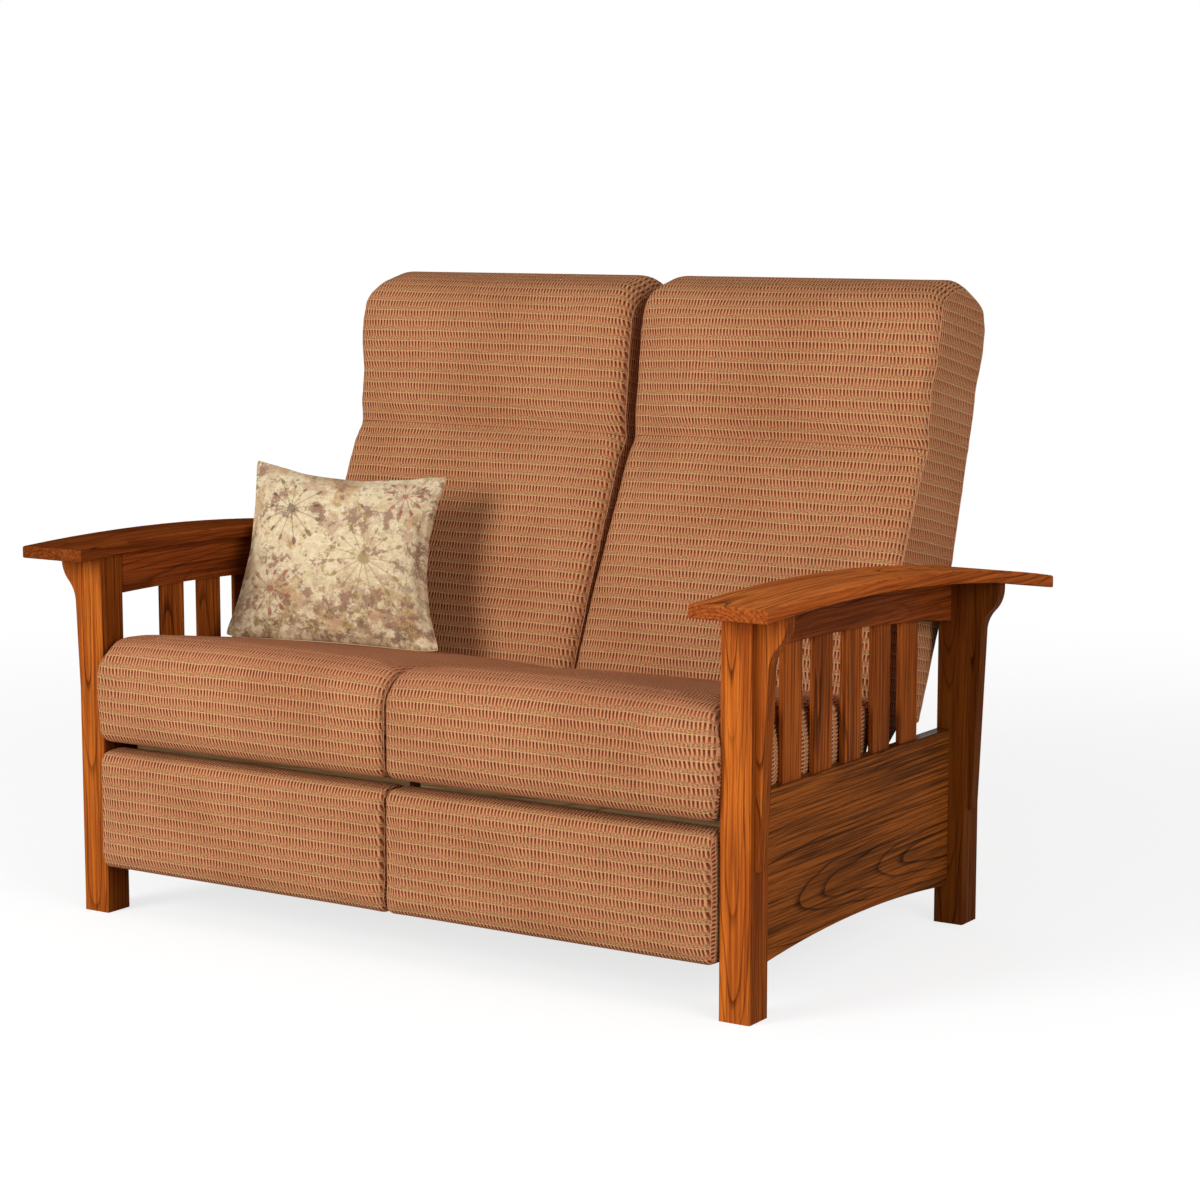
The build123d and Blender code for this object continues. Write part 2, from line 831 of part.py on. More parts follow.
with BuildPart() as back_cushion:
    for offset, draw, drop_share in back_stations(back_width / 2):
        inset = draw * back_side_draw
        drop = drop_share * back_corner_drop
        with BuildSketch(Plane.YZ.offset(back_x + offset)):
            with BuildLine():
                FilletPolyline(
                    (back_foot_y + inset, back_foot_z),
                    (back_heel_y, back_heel_z),
                    (back_hip_y, back_hip_z),
                    (back_shoulder_y, back_shoulder_z),
                    (back_nape_y - inset / 2, back_nape_z - drop),
                    (back_top_y - inset / 2, back_top_z - drop),
                    (back_crest_y + inset, back_crest_z - drop),
                    (back_brow_y + inset, back_brow_z - drop / 2),
                    (back_head_y + inset, back_head_z),
                    (back_seam_y + inset, back_seam_z),
                    (back_bulge_y + inset, back_bulge_z),
                    (back_waist_y + inset, back_waist_z),
                    radius=[
                        back_edge_round,
                        back_edge_round,
                        back_curve_round,
                        back_curve_round,
                        back_edge_round,
                        back_top_round,
                        back_crest_round,
                        back_curve_round,
                        back_seam_round,
                        back_seam_round,
                        back_curve_round,
                        back_curve_round,
                    ],
                    close=True,
                )
            make_face()
    loft(ruled=True)
    add(back_boards, mode=Mode.SUBTRACT)
    add(back_hinges.part, mode=Mode.SUBTRACT)
save_pair(back_cushion.part, "back_cushion")


# Throw pillow: a knife-edge pillow, thick in the middle, leaning on the left-hand back
pillow_station_shares = [(1, 0, 1), (0.84, 0.56, 0.965), (0.5, 0.9, 0.95), (0, 1, 0.95)]
pillow_right = [(share * pillow_width / 2, swell, tall) for share, swell, tall in pillow_station_shares]
pillow_left = [(-offset, swell, tall) for offset, swell, tall in pillow_right[:-1]]
with BuildPart() as pillow_form:
    for offset, swell, tall in pillow_left + pillow_right[::-1]:
        half_height = tall * pillow_height / 2
        half_edge = pillow_edge / 2
        half_depth = half_edge + swell * (pillow_thickness / 2 - half_edge) + half_edge / 2
        with BuildSketch(Plane.YZ.offset(offset)):
            with BuildLine():
                ThreePointArc((-half_edge, -half_height), (-half_depth, 0), (-half_edge, half_height))
                Line((-half_edge, half_height), (half_edge, half_height))
                ThreePointArc((half_edge, half_height), (half_depth, 0), (half_edge, -half_height))
                Line((half_edge, -half_height), (-half_edge, -half_height))
            make_face()
    loft(ruled=True)
seat_slope = (cushion_front_top - cushion_rear_top) / (back_front_y(cushion_rear_top) - cushion_front)
seat_height_there = cushion_front_top - (pillow_y - cushion_front) * seat_slope
pillow_z = seat_height_there + pillow_crown_share * cushion_crown + pillow_clearance
pillow_place = (
    Pos(pillow_inset - seat_x - seat_width / 2, pillow_y, pillow_z)
    * Rot(Z=pillow_turn)
    * Rot(X=-pillow_tilt)
    * Rot(Y=pillow_roll)
    * Pos(Z=pillow_height / 2)
)
save(pillow_place * pillow_form.part, "throw_pillow")
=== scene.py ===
import bmesh
import bpy
import json
import math
import numpy as np
from mathutils import Euler, Matrix, Vector

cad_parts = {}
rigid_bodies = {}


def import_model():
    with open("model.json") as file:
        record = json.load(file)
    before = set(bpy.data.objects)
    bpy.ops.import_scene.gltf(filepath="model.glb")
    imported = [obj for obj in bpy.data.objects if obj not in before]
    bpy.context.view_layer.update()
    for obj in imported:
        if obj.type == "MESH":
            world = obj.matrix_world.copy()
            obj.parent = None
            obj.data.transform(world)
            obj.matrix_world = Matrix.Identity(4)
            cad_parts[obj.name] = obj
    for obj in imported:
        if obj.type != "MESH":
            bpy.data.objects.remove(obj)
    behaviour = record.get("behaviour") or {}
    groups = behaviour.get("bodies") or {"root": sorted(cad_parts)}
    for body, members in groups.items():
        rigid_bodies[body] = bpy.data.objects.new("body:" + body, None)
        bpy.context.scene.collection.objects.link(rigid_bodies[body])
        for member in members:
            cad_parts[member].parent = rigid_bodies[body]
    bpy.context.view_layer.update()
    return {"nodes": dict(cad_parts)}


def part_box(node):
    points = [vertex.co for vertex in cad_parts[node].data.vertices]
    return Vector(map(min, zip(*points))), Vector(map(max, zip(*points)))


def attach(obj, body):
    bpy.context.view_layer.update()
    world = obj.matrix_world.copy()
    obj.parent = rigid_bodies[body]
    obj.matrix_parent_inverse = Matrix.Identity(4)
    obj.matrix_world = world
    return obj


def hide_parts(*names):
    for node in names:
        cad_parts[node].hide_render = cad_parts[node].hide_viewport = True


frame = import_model()

# Mission reclining loveseat
# All lengths are in metres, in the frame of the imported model:
# X to the viewer's right, Y to the back, Z up, with the floor at zero.

SIDES = {"left": -1, "right": 1}
MM = 0.001


def srgb(red, green, blue):
    """Linear colour of a colour given as 0 to 255 in sRGB."""
    def linear(value):
        value /= 255
        return value / 12.92 if value <= 0.04045 else ((value + 0.055) / 1.055) ** 2.4
    return (linear(red), linear(green), linear(blue), 1)


WHITE = (1, 1, 1, 1)

# Node trees
# The colour sockets of a Mix node
MIX_A, MIX_B, MIX_RESULT = 6, 7, 2
# Mesh layers for the cloths: each point's place on the cloth in metres, and its share of painted
# top tint, a redder tone that stands in for the look the tops take in the light, from 0 where
# the cloth stands upright to 1 where it lies level
CLOTH_MAP = "weave"
TOP_TINT = "top_tint"


def math_call(operation):
    return lambda shader, *values: shader.math(operation, *values)


class Shader:
    """One material or world, with short calls that add and join its nodes."""

    add, subtract, times = math_call("ADD"), math_call("SUBTRACT"), math_call("MULTIPLY")
    floor, fract, sine = math_call("FLOOR"), math_call("FRACT"), math_call("SINE")
    size, root, larger = math_call("ABSOLUTE"), math_call("SQRT"), math_call("MAXIMUM")

    def __init__(self, name, kind="materials"):
        self.owner = getattr(bpy.data, kind).new(name)
        self.owner.use_nodes = True
        self.tree = self.owner.node_tree

    def node(self, kind, inputs=None, **settings):
        made = self.tree.nodes.new(kind)
        for key, value in settings.items():
            setattr(made, key, value)
        self.fill(made, inputs or {})
        return made

    def fill(self, node, inputs):
        for key, value in inputs.items():
            self.feed(node.inputs[key], value)

    def feed(self, socket, value):
        if isinstance(value, bpy.types.NodeSocket):
            self.tree.links.new(value, socket)
        else:
            socket.default_value = value

    def math(self, operation, *values, clamp=False):
        made = self.node("ShaderNodeMath", operation=operation, use_clamp=clamp)
        for socket, value in zip(made.inputs, values):
            self.feed(socket, value)
        return made.outputs[0]

    def total(self, *terms):
        """Sum of values, each given with its weight."""
        made, *parts = [self.times(value, weight) for value, weight in terms]
        for part in parts:
            made = self.add(made, part)
        return made

    def length(self, x, y):
        return self.root(self.add(self.times(x, x), self.times(y, y)))

    def swing(self, noise, reach):
        """How far a noise is from its middle value, times reach."""
        return self.times(self.subtract(noise, 0.5), reach)

    def wave(self, value, pitch):
        return self.sine(self.times(value, 2 * math.pi / pitch))

    def smooth(self, value, low, high):
        """0 below low, 1 above high, with a soft step between."""
        inputs = {"Value": value, "From Min": low, "From Max": high}
        made = self.node("ShaderNodeMapRange", inputs, interpolation_type="SMOOTHSTEP")
        return made.outputs["Result"]

    def fade(self, value, low, high):
        """1 below low, 0 above high, with a soft step between."""
        return self.subtract(1.0, self.smooth(value, low, high))

    def mix(self, factor, a, b, blend="MIX"):
        made = self.node("ShaderNodeMix", {"Factor": factor}, data_type="RGBA", blend_type=blend)
        self.feed(made.inputs[MIX_A], a)
        self.feed(made.inputs[MIX_B], b)
        return made.outputs[MIX_RESULT]

    def noise(self, vector, scale=1.0, detail=2.0, roughness=0.5):
        inputs = {"Vector": vector, "Scale": scale, "Detail": detail, "Roughness": roughness}
        return self.node("ShaderNodeTexNoise", inputs).outputs["Fac"]

    def lot(self, **inputs):
        """A random value from 0 to 1 for each whole number or pair of them."""
        kind = "2D" if "Vector" in inputs else "1D"
        return self.node("ShaderNodeTexWhiteNoise", inputs, noise_dimensions=kind).outputs["Value"]

    def place(self, vector, location=(0, 0, 0), rotation=(0, 0, 0), scale=(1, 1, 1)):
        inputs = {"Vector": vector, "Location": location, "Rotation": rotation, "Scale": scale}
        return self.node("ShaderNodeMapping", inputs).outputs["Vector"]

    def split(self, vector):
        return self.node("ShaderNodeSeparateXYZ", {"Vector": vector}).outputs

    def join(self, x, y, z=0.0):
        return self.node("ShaderNodeCombineXYZ", {"X": x, "Y": y, "Z": z}).outputs["Vector"]

    def objects(self):
        return self.node("ShaderNodeTexCoord").outputs["Object"]

    def facing(self, axis):
        """How far the surface faces along an axis, from -1 to 1."""
        return self.split(self.node("ShaderNodeTexCoord").outputs["Normal"])[axis]

    def cloth(self):
        return self.node("ShaderNodeUVMap", uv_map=CLOTH_MAP).outputs["UV"]

    def bump(self, height, distance, strength):
        inputs = {"Height": height, "Strength": strength, "Distance": distance}
        return self.node("ShaderNodeBump", inputs).outputs["Normal"]

    def surface(self, colour, normal, roughness, fixed=None):
        inputs = {"Base Color": colour, "Normal": normal, "Roughness": roughness}
        self.fill(self.tree.nodes["Principled BSDF"], inputs | (fixed or {}))
        return self.owner


# Wood
AXIS_TURN = {"x": (0, math.pi / 2, 0), "y": (-math.pi / 2, 0, 0), "z": (0, 0, 0)}
RING_PITCH = 5.6 * MM
WIDE_RING_PITCH = 7 * MM
RING_SWAY = 50 * MM
RING_RIPPLE = 5 * MM
RING_LOT_SCALE = 0.73
# How far a seed moves the noises along each axis, in cells
SEED_STEPS = (1.7, 2.9, 4.3)
# The noises: cells to the metre across and along the grain, detail and roughness
SWAY = (4, 1.6, 2.0, 0.5)
RIPPLE = (26, 5, 2.0, 0.5)
PORES = (250, 6, 4.0, 0.75)
STREAKS = (190, 3, 2.0, 0.6)
FIBRE = (620, 9, 3.0, 0.65)
CLOUD = (9, 2.2, 3.0, 0.5)
# Where soft steps begin and end, as shares of a ring, values of a noise and parts of a normal
RING_ONSET, RING_FADE = (0.0, 0.06), (0.02, 0.34)
RING_STRENGTH, PORE_EDGE, GROUND_EDGE = (0.3, 0.62), (0.50, 0.62), (0.62, 0.98)
FACING_EDGE = (0.6, 0.95)
# How much of the lines' colour rings take, and pores, and pores in a ring besides
RING_DEPTH, PORE_DEPTH, RING_PORE_DEPTH = 0.78, 0.38, 0.45
# Colour that multiplies the side faces as painted shade
PAINTED_SIDE_SHADE_COLOUR = srgb(120, 96, 84)
# Roughness of the boards by their finish
VARNISHED, OILED, BARE = 0.3, 0.42, 0.6


def oak(
    name, grain, middle, pith, tilt, seed, tones,
    roughness=VARNISHED, ring_pitch=RING_PITCH, flank=0.0, crown=None, shine=0.02,
):
    """Stained oak cut from a log whose rings show as arches and lines.

    grain is the axis along the board, middle its centre, pith the offset of the log's centre from
    it, and tilt its lean as two angles. tones are the pale and dark ground and the rings'
    colour. How much painted shade darkens the side faces is given as a share, and crown is a
    painted highlight that lightens the top faces.
    """
    pale, dark, line = tones
    s = Shader(name)
    here = s.place(s.objects(), location=tuple(-c for c in middle))
    along = s.place(here, rotation=AXIS_TURN[grain])
    jitter = tuple(seed * step for step in SEED_STEPS)

    def grained(across, lengthwise, detail, roughness):
        cells = s.place(along, location=jitter, scale=(across, across, lengthwise))
        return s.noise(cells, 1.0, detail, roughness)

    x, y, _ = s.split(s.place(along, location=(*pith, 0), rotation=(*tilt, 0)))
    radius = s.add(s.length(x, y), s.swing(grained(*SWAY), RING_SWAY))
    radius = s.add(radius, s.swing(grained(*RIPPLE), RING_RIPPLE))
    rings = s.times(radius, 1 / ring_pitch)
    phase = s.fract(rings)
    strength = s.noise(s.join(s.floor(rings), seed), RING_LOT_SCALE, 1.0)
    band = s.times(s.fade(phase, *RING_FADE), s.smooth(phase, *RING_ONSET))
    band = s.times(band, s.smooth(strength, *RING_STRENGTH))
    pore = s.smooth(grained(*PORES), *PORE_EDGE)
    fibre = grained(*FIBRE)
    tone = s.total((fibre, 0.4), (grained(*STREAKS), 0.7), (grained(*CLOUD), 0.5))
    ground = s.mix(s.smooth(tone, *GROUND_EDGE), dark, pale)
    lined = s.mix(s.times(band, RING_DEPTH), ground, line)
    colour = s.mix(s.times(pore, s.add(PORE_DEPTH, s.times(band, RING_PORE_DEPTH))), lined, line)
    # Painted shade: faces turned along x are darkened by the given share
    if flank:
        sideways = s.smooth(s.size(s.facing(0)), *FACING_EDGE)
        colour = s.mix(s.times(sideways, flank), colour, PAINTED_SIDE_SHADE_COLOUR, "MULTIPLY")
    # Painted highlight: faces turned up are lightened by crown
    if crown:
        colour = s.mix(s.smooth(s.facing(2), *FACING_EDGE), colour, crown, "MULTIPLY")
    height = s.total((fibre, 0.35), (pore, -0.5), (band, -0.35))
    rough = s.add(roughness, s.times(pore, 0.16))
    return s.surface(colour, s.bump(height, 0.3 * MM, 0.45), rough, {"Specular IOR Level": shine})


POST_TONES = (srgb(206, 112, 38), srgb(156, 74, 24), srgb(70, 26, 9))
ARM_TONES = (srgb(166, 84, 34), srgb(122, 56, 22), srgb(62, 26, 10))
RAIL_TONES = (srgb(146, 70, 26), srgb(98, 44, 15), srgb(40, 16, 6))
PANEL_TONES = (srgb(150, 80, 28), srgb(64, 34, 14), srgb(26, 12, 5))
SLAT_TONES = (srgb(168, 86, 30), srgb(104, 48, 16), srgb(44, 17, 6))
BARE_TONES = (srgb(205, 170, 122), srgb(180, 138, 92), srgb(140, 98, 60))

# How much lighter or darker some places are against their tones, and how much painted shade
# the side faces of the front and rear posts and corbels take. The rear posts and corbels are
# darkened as painted shade, and the right arm is lighter, partly in its own tone and partly as a
# painted gloss
LEFT_POSTS, REAR_POSTS_PAINTED_SHADE, RIGHT_ARM_TONE_AND_GLOSS, LEFT_ARM = 0.8, 0.3, 1.15, 0.7
PAINTED_SIDE_SHADE = {"front": 0.6, "rear": 0.2}
# Painted sheen: how much the right arm's top faces are lightened
RIGHT_ARM_PAINTED_SHEEN = (1.45, 1.75, 2.0, 1)

# How each kind of board is cut: grain, pith, tilt and first seed, as oak takes them
CUTS = {
    "post": ("z", (0.004, 0.052), (0.045, 0.012), 3.1),
    "corbel": ("z", (0.02, 0.034), (0.03, 0.06), 15.5),
    "arm": ("y", (0.01, 0.05), (0.012, 0.02), 20.7),
    "top_rail": ("y", (0.06, 0.012), (0.015, 0.03), 31.2),
    "side_panel": ("y", (0.06, 0.05), (0.02, 0.06), 42.9),
    "slat": ("z", (0.05, 0.0), (0.012, 0.02), 50.3),
    "stretcher": ("x", (0.05, 0.02), (0.01, 0.02), 61.5),
    "centre_rail": ("y", (0.04, 0.03), (0.01, 0.01), 65.2),
    "side_cleats": ("y", (0.04, 0.03), (0.01, 0.01), 66.8),
    "inner_board": ("x", (0.06, 0.03), (0.01, 0.02), 70.1),
}
SLAT_COUNT = 5
SLAT_PITH_STEP = 0.01


def deepened(tones, share):
    return tuple(tuple(part * share for part in tone[:3]) + (1,) for tone in tones)


def paint(node, material):
    """Give a CAD node's own mesh this material in all its slots."""
    slots = frame["nodes"][node].data.materials
    if not slots:
        slots.append(material)
    for index in range(len(slots)):
        slots[index] = material


def board(node, kind, step, tones, pith_step=0.0, **looks):
    """Paint a board; the steps set its seed and its log apart from others of its kind."""
    grain, (pith_x, pith_y), tilt, seed = CUTS[kind]
    pith = (pith_x, pith_y + pith_step)
    low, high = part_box(node)
    middle = (low + high) / 2
    paint(node, oak(f"oak_{node}", grain, middle, pith, tilt, seed + step, tones, **looks))


for side, sign in SIDES.items():
    right = side == "right"
    front_tones = POST_TONES if right else deepened(POST_TONES, LEFT_POSTS)
    # The rear posts and their corbels are darkened as painted shade
    post_tones = {"front": front_tones, "rear": deepened(front_tones, REAR_POSTS_PAINTED_SHADE)}
    for number, end in enumerate(("front", "rear")):
        step = sign + 5 * number
        board(f"{end}_{side}_post", "post", step, post_tones[end], flank=PAINTED_SIDE_SHADE[end])
        board(f"{end}_{side}_corbel", "corbel", 2 * step, post_tones[end], flank=PAINTED_SIDE_SHADE[end])
    arm_tones = deepened(ARM_TONES, RIGHT_ARM_TONE_AND_GLOSS if right else LEFT_ARM)
    # The right arm takes lighter tones and a painted sheen on its top, in place of a gloss, as its
    # shine is off
    crown = RIGHT_ARM_PAINTED_SHEEN if right else None
    board(f"{side}_arm", "arm", 3 * sign, arm_tones, shine=0.0, crown=crown)
    board(f"{side}_top_rail", "top_rail", sign, RAIL_TONES)
    board(f"{side}_side_panel", "side_panel", 2 * sign, PANEL_TONES, ring_pitch=WIDE_RING_PITCH)
    for number in range(1, SLAT_COUNT + 1):
        pith_step = SLAT_PITH_STEP * number
        board(f"{side}_slat_{number}", "slat", sign * number, SLAT_TONES, pith_step)
for number, node in enumerate(("front_stretcher", "rear_stretcher")):
    board(node, "stretcher", number, RAIL_TONES, roughness=OILED)
for node in ("centre_rail", "side_cleats"):
    board(node, node, 0, RAIL_TONES, roughness=OILED)
for side, sign in SIDES.items():
    for number, piece in enumerate(("seat_frame", "back_frame", "footrest_board")):
        board(f"{side}_{piece}", "inner_board", number + sign, BARE_TONES, roughness=BARE)


# Steel and webbing
STRAP_PITCH = 2.2 * MM


def black_steel():
    s = Shader("black_steel")
    where = s.objects()
    cloud = s.noise(where, 34.0, detail=3.0)
    grain = s.noise(where, 900.0)
    rub = s.smooth(s.noise(where, 60.0, detail=4.0, roughness=0.7), 0.62, 0.78)
    colour = s.mix(s.smooth(cloud, 0.3, 0.7), srgb(24, 24, 26), srgb(44, 44, 47))
    colour = s.mix(s.times(rub, 0.35), colour, srgb(104, 102, 100))
    rough = s.add(0.34, s.times(cloud, 0.2))
    return s.surface(colour, s.bump(grain, 0.05 * MM, 0.4), rough, {"Metallic": 0.65})


def strap_webbing():
    s = Shader("strap_webbing")
    x, y, _ = s.split(s.objects())
    weave = s.times(s.wave(x, STRAP_PITCH), s.wave(y, STRAP_PITCH))
    dirt = s.noise(s.objects(), 22.0, detail=3.0)
    colour = s.mix(s.smooth(dirt, 0.3, 0.75), srgb(196, 180, 148), srgb(158, 140, 108))
    colour = s.mix(s.smooth(weave, -1.0, 1.0), colour, srgb(120, 104, 78), "MULTIPLY")
    return s.surface(colour, s.bump(weave, 0.3 * MM, 0.6), 0.8)


steel = black_steel()
webbing = strap_webbing()
paint("base_tracks", steel)
for side in SIDES:
    for piece in (
        "seat_plates", "front_lift_links", "rear_lift_links", "drive_tube", "coupler_links",
        "swing_links", "footrest_brackets", "back_hinges",
    ):
        paint(f"{side}_{piece}", steel)
    paint(f"{side}_seat_webbing", webbing)


# Upholstery cloth
ROW_PITCH = 19.6 * MM
DASH_PITCH = 6.6 * MM
# How far rows and dashes sway, and how far dashes lean against their height, with its sway
ROW_SWAY, DASH_SWAY, LEAN, LEAN_SWAY = 3.0 * MM, 3.0 * MM, 0.14, 0.9
# Shares of a row's height: the dashes' uneven foot and their top, with how soft these are, the
# thread over them, and the step from pale red to deep red
FOOT_SPREAD, FOOT_SOFT = 0.10, 0.12
DASH_TOP, TOP_BELOW, TOP_ABOVE = 0.64, 0.04, 0.01
THREAD_LIFT, THREAD_WAVE, THREAD_EDGE = 0.02, 0.05, (0.015, 0.05)
REDDENING = (0.16, 0.46)
# Distances from the middle of a dash, as shares of its pitch
DASH_EDGE, RIDGE_EDGE = (0.18, 0.30), (0.24, 0.40)


def row_cloth():
    """Cloth with rows of short dark dashes between light threads, parted by mottled bands."""
    s = Shader("row_cloth")
    cloth = s.cloth()
    top_tint = s.node("ShaderNodeAttribute", attribute_name=TOP_TINT).outputs["Fac"]
    drift = s.noise(cloth, scale=9.0)
    wander = s.noise(cloth, scale=31.0, detail=1.0)
    u, v, _ = s.split(cloth)
    rows = s.times(s.add(v, s.swing(drift, ROW_SWAY)), 1 / ROW_PITCH)
    row = s.floor(rows)
    height = s.fract(rows)
    offset = s.times(s.sine(s.times(row, 37.7)), 2.4 * MM)
    lean = s.times(s.times(height, ROW_PITCH), s.add(LEAN, s.swing(drift, LEAN_SWAY)))
    shifted = s.add(s.add(s.add(u, offset), lean), s.swing(wander, DASH_SWAY))
    dashes = s.times(shifted, 1 / DASH_PITCH)
    across = s.size(s.subtract(s.fract(dashes), 0.5))
    chance = s.lot(Vector=s.join(s.floor(dashes), row))
    foot = s.times(chance, FOOT_SPREAD)
    risen = s.smooth(height, foot, s.add(foot, FOOT_SOFT))
    in_row = s.times(risen, s.fade(height, DASH_TOP - TOP_BELOW, DASH_TOP + TOP_ABOVE))
    dark = s.times(s.fade(across, *DASH_EDGE), in_row)
    ridge = s.times(s.smooth(across, *RIDGE_EDGE), in_row)
    fleck = s.noise(s.place(cloth, scale=(430, 520, 1)), detail=3.0, roughness=0.75)
    fine = s.noise(s.place(cloth, scale=(1500, 1500, 1)), roughness=0.7)
    streak = s.noise(s.place(cloth, scale=(70, 150, 1)), roughness=0.6)
    knit = s.smooth(s.total((fleck, 0.75), (fine, 0.25)), 0.36, 0.64)
    knit = s.math("ADD", knit, s.times(s.subtract(across, 0.25), 0.9), clamp=True)
    olive = s.mix(knit, srgb(110, 70, 38), srgb(208, 158, 108))
    rosy = s.mix(knit, srgb(118, 62, 38), srgb(218, 150, 110))
    band = s.mix(s.smooth(streak, 0.42, 0.62), olive, rosy)
    salmon = s.mix(fleck, srgb(176, 110, 72), srgb(236, 176, 130))
    deep_red = s.mix(chance, srgb(74, 20, 5), srgb(112, 42, 15))
    pale_red = s.mix(chance, srgb(126, 52, 26), srgb(164, 80, 48))
    red = s.mix(s.smooth(height, *REDDENING), pale_red, deep_red)
    colour = s.mix(in_row, band, s.mix(0.5, band, salmon))
    colour = s.mix(ridge, colour, salmon)
    colour = s.mix(s.times(dark, 0.9), colour, red)
    wave = s.times(s.subtract(0.5, across), THREAD_WAVE)
    rise = s.subtract(height, s.add(DASH_TOP + THREAD_LIFT, wave))
    thread = s.fade(s.size(rise), *THREAD_EDGE)
    colour = s.mix(s.times(thread, s.add(0.25, s.times(streak, 0.5))), colour, srgb(228, 178, 126))
    cloud = s.smooth(s.noise(cloth, scale=5.0), 0.35, 0.7)
    colour = s.mix(s.times(cloud, 0.16), colour, srgb(150, 100, 66), "MULTIPLY")
    # Painted top tint: cloth that faces up turns redder, standing in for the look the tops take in
    # the light
    colour = s.mix(s.times(top_tint, 0.24), colour, srgb(190, 112, 84))
    relief = s.total((ridge, 0.9), (thread, 0.5), (knit, 0.5), (dark, -1.0))
    return s.surface(colour, s.bump(relief, 0.9 * MM, 0.75), 0.95, {"Specular IOR Level": 0.03})


# The dressed cushions
# A cushion is an outline in the side view, with corners of y, z and radius, carried across the
# seat and closed by boxed sides. The outline's front and rear halves have the same number of
# points, so that a boxed side is a plain grid between them.
GRID = 12 * MM
BEND_DENSITY = 1.4
LEAST_STEP = 0.4 * GRID


def rounded_outline(corners):
    """Closed outline through corners given as (y, z, radius), as points about a grid step apart."""
    count = len(corners)
    bends = []
    for index, (y, z, radius) in enumerate(corners):
        here = Vector((y, z))
        before = (Vector(corners[index - 1][:2]) - here).normalized()
        after = (Vector(corners[(index + 1) % count][:2]) - here).normalized()
        half = before.angle(after) / 2
        reach = radius / math.tan(half)
        centre = here + (before + after).normalized() * radius / math.sin(half)
        sweep = math.pi - 2 * half
        start, end = here + before * reach, here + after * reach
        turn = sweep if (start - centre).cross(end - centre) > 0 else -sweep
        bends.append((start, end, centre, turn))
    points = []
    for index, (start, end, centre, turn) in enumerate(bends):
        arm = start - centre
        steps = max(2, math.ceil(arm.length * abs(turn) / GRID * BEND_DENSITY))
        for step in range(steps):
            cos, sin = math.cos(turn * step / steps), math.sin(turn * step / steps)
            points.append(centre + Vector((arm.x * cos - arm.y * sin, arm.x * sin + arm.y * cos)))
        following = bends[(index + 1) % count][0]
        steps = max(1, round((following - end).length / GRID))
        points.extend(end.lerp(following, step / steps) for step in range(steps))
    return points


def halves(points, low, high):
    """Split a closed outline at the points nearest low and high, both halves from low to high."""
    count = len(points)
    first, last = (
        min(range(count), key=lambda i: (points[i] - Vector(end)).length) for end in (low, high)
    )
    one = [points[(first + i) % count] for i in range((last - first) % count + 1)]
    other = [points[(first - i) % count] for i in range((first - last) % count + 1)]
    return (one, other) if one[len(one) // 2].x < other[len(other) // 2].x else (other, one)


def running_lengths(points):
    lengths = [0.0]
    for before, after in zip(points, points[1:]):
        lengths.append(lengths[-1] + (after - before).length)
    return np.array(lengths)


def running_shares(points):
    lengths = running_lengths(points)
    return lengths / lengths[-1]


def matched(front, rear):
    """The two halves with points at the same shares of their lengths."""
    shares = [*running_shares(front), *running_shares(rear)]
    total = running_lengths(front)[-1]
    kept = []
    for share in sorted(shares):
        if not kept or (share - kept[-1]) * total > LEAST_STEP:
            kept.append(float(share))
    kept[-1] = 1.0
    result = []
    for half in (front, rear):
        lines = ([point[axis] for point in half] for axis in (0, 1))
        ys, zs = (np.interp(kept, running_shares(half), line) for line in lines)
        result.append([Vector((y, z)) for y, z in zip(ys, zs)])
    return result


def places(mesh):
    """The mesh's points, as rows of x, y and z."""
    flat = np.zeros(len(mesh.vertices) * 3, np.float32)
    mesh.vertices.foreach_get("co", flat)
    return flat.reshape(-1, 3).astype(float)


def move_to(mesh, points):
    mesh.vertices.foreach_set("co", points.astype(np.float32).ravel())
    mesh.update()


def link(thing):
    bpy.context.scene.collection.objects.link(thing)
    return thing


def mesh_piece(name, vertices, faces, maps):
    """A mesh with the cloth's map on it, and all its faces turned outwards."""
    mesh = bpy.data.meshes.new(name)
    mesh.from_pydata(vertices, [], faces)
    layer = mesh.uv_layers.new(name=CLOTH_MAP)
    for polygon, corners in zip(mesh.polygons, maps):
        for loop, place in zip(polygon.loop_indices, corners):
            layer.data[loop].uv = place
    shell = bmesh.new()
    shell.from_mesh(mesh)
    bmesh.ops.recalc_face_normals(shell, faces=shell.faces)
    shell.to_mesh(mesh)
    shell.free()
    mesh.update()
    return link(bpy.data.objects.new(name, mesh))


def share_of(value, low, high):
    return min(1.0, max(0.0, (value - low) / (high - low)))


def eased(value, low, high):
    """The step of Shader.smooth, for numbers."""
    share = share_of(value, low, high)
    return share * share * (3 - 2 * share)


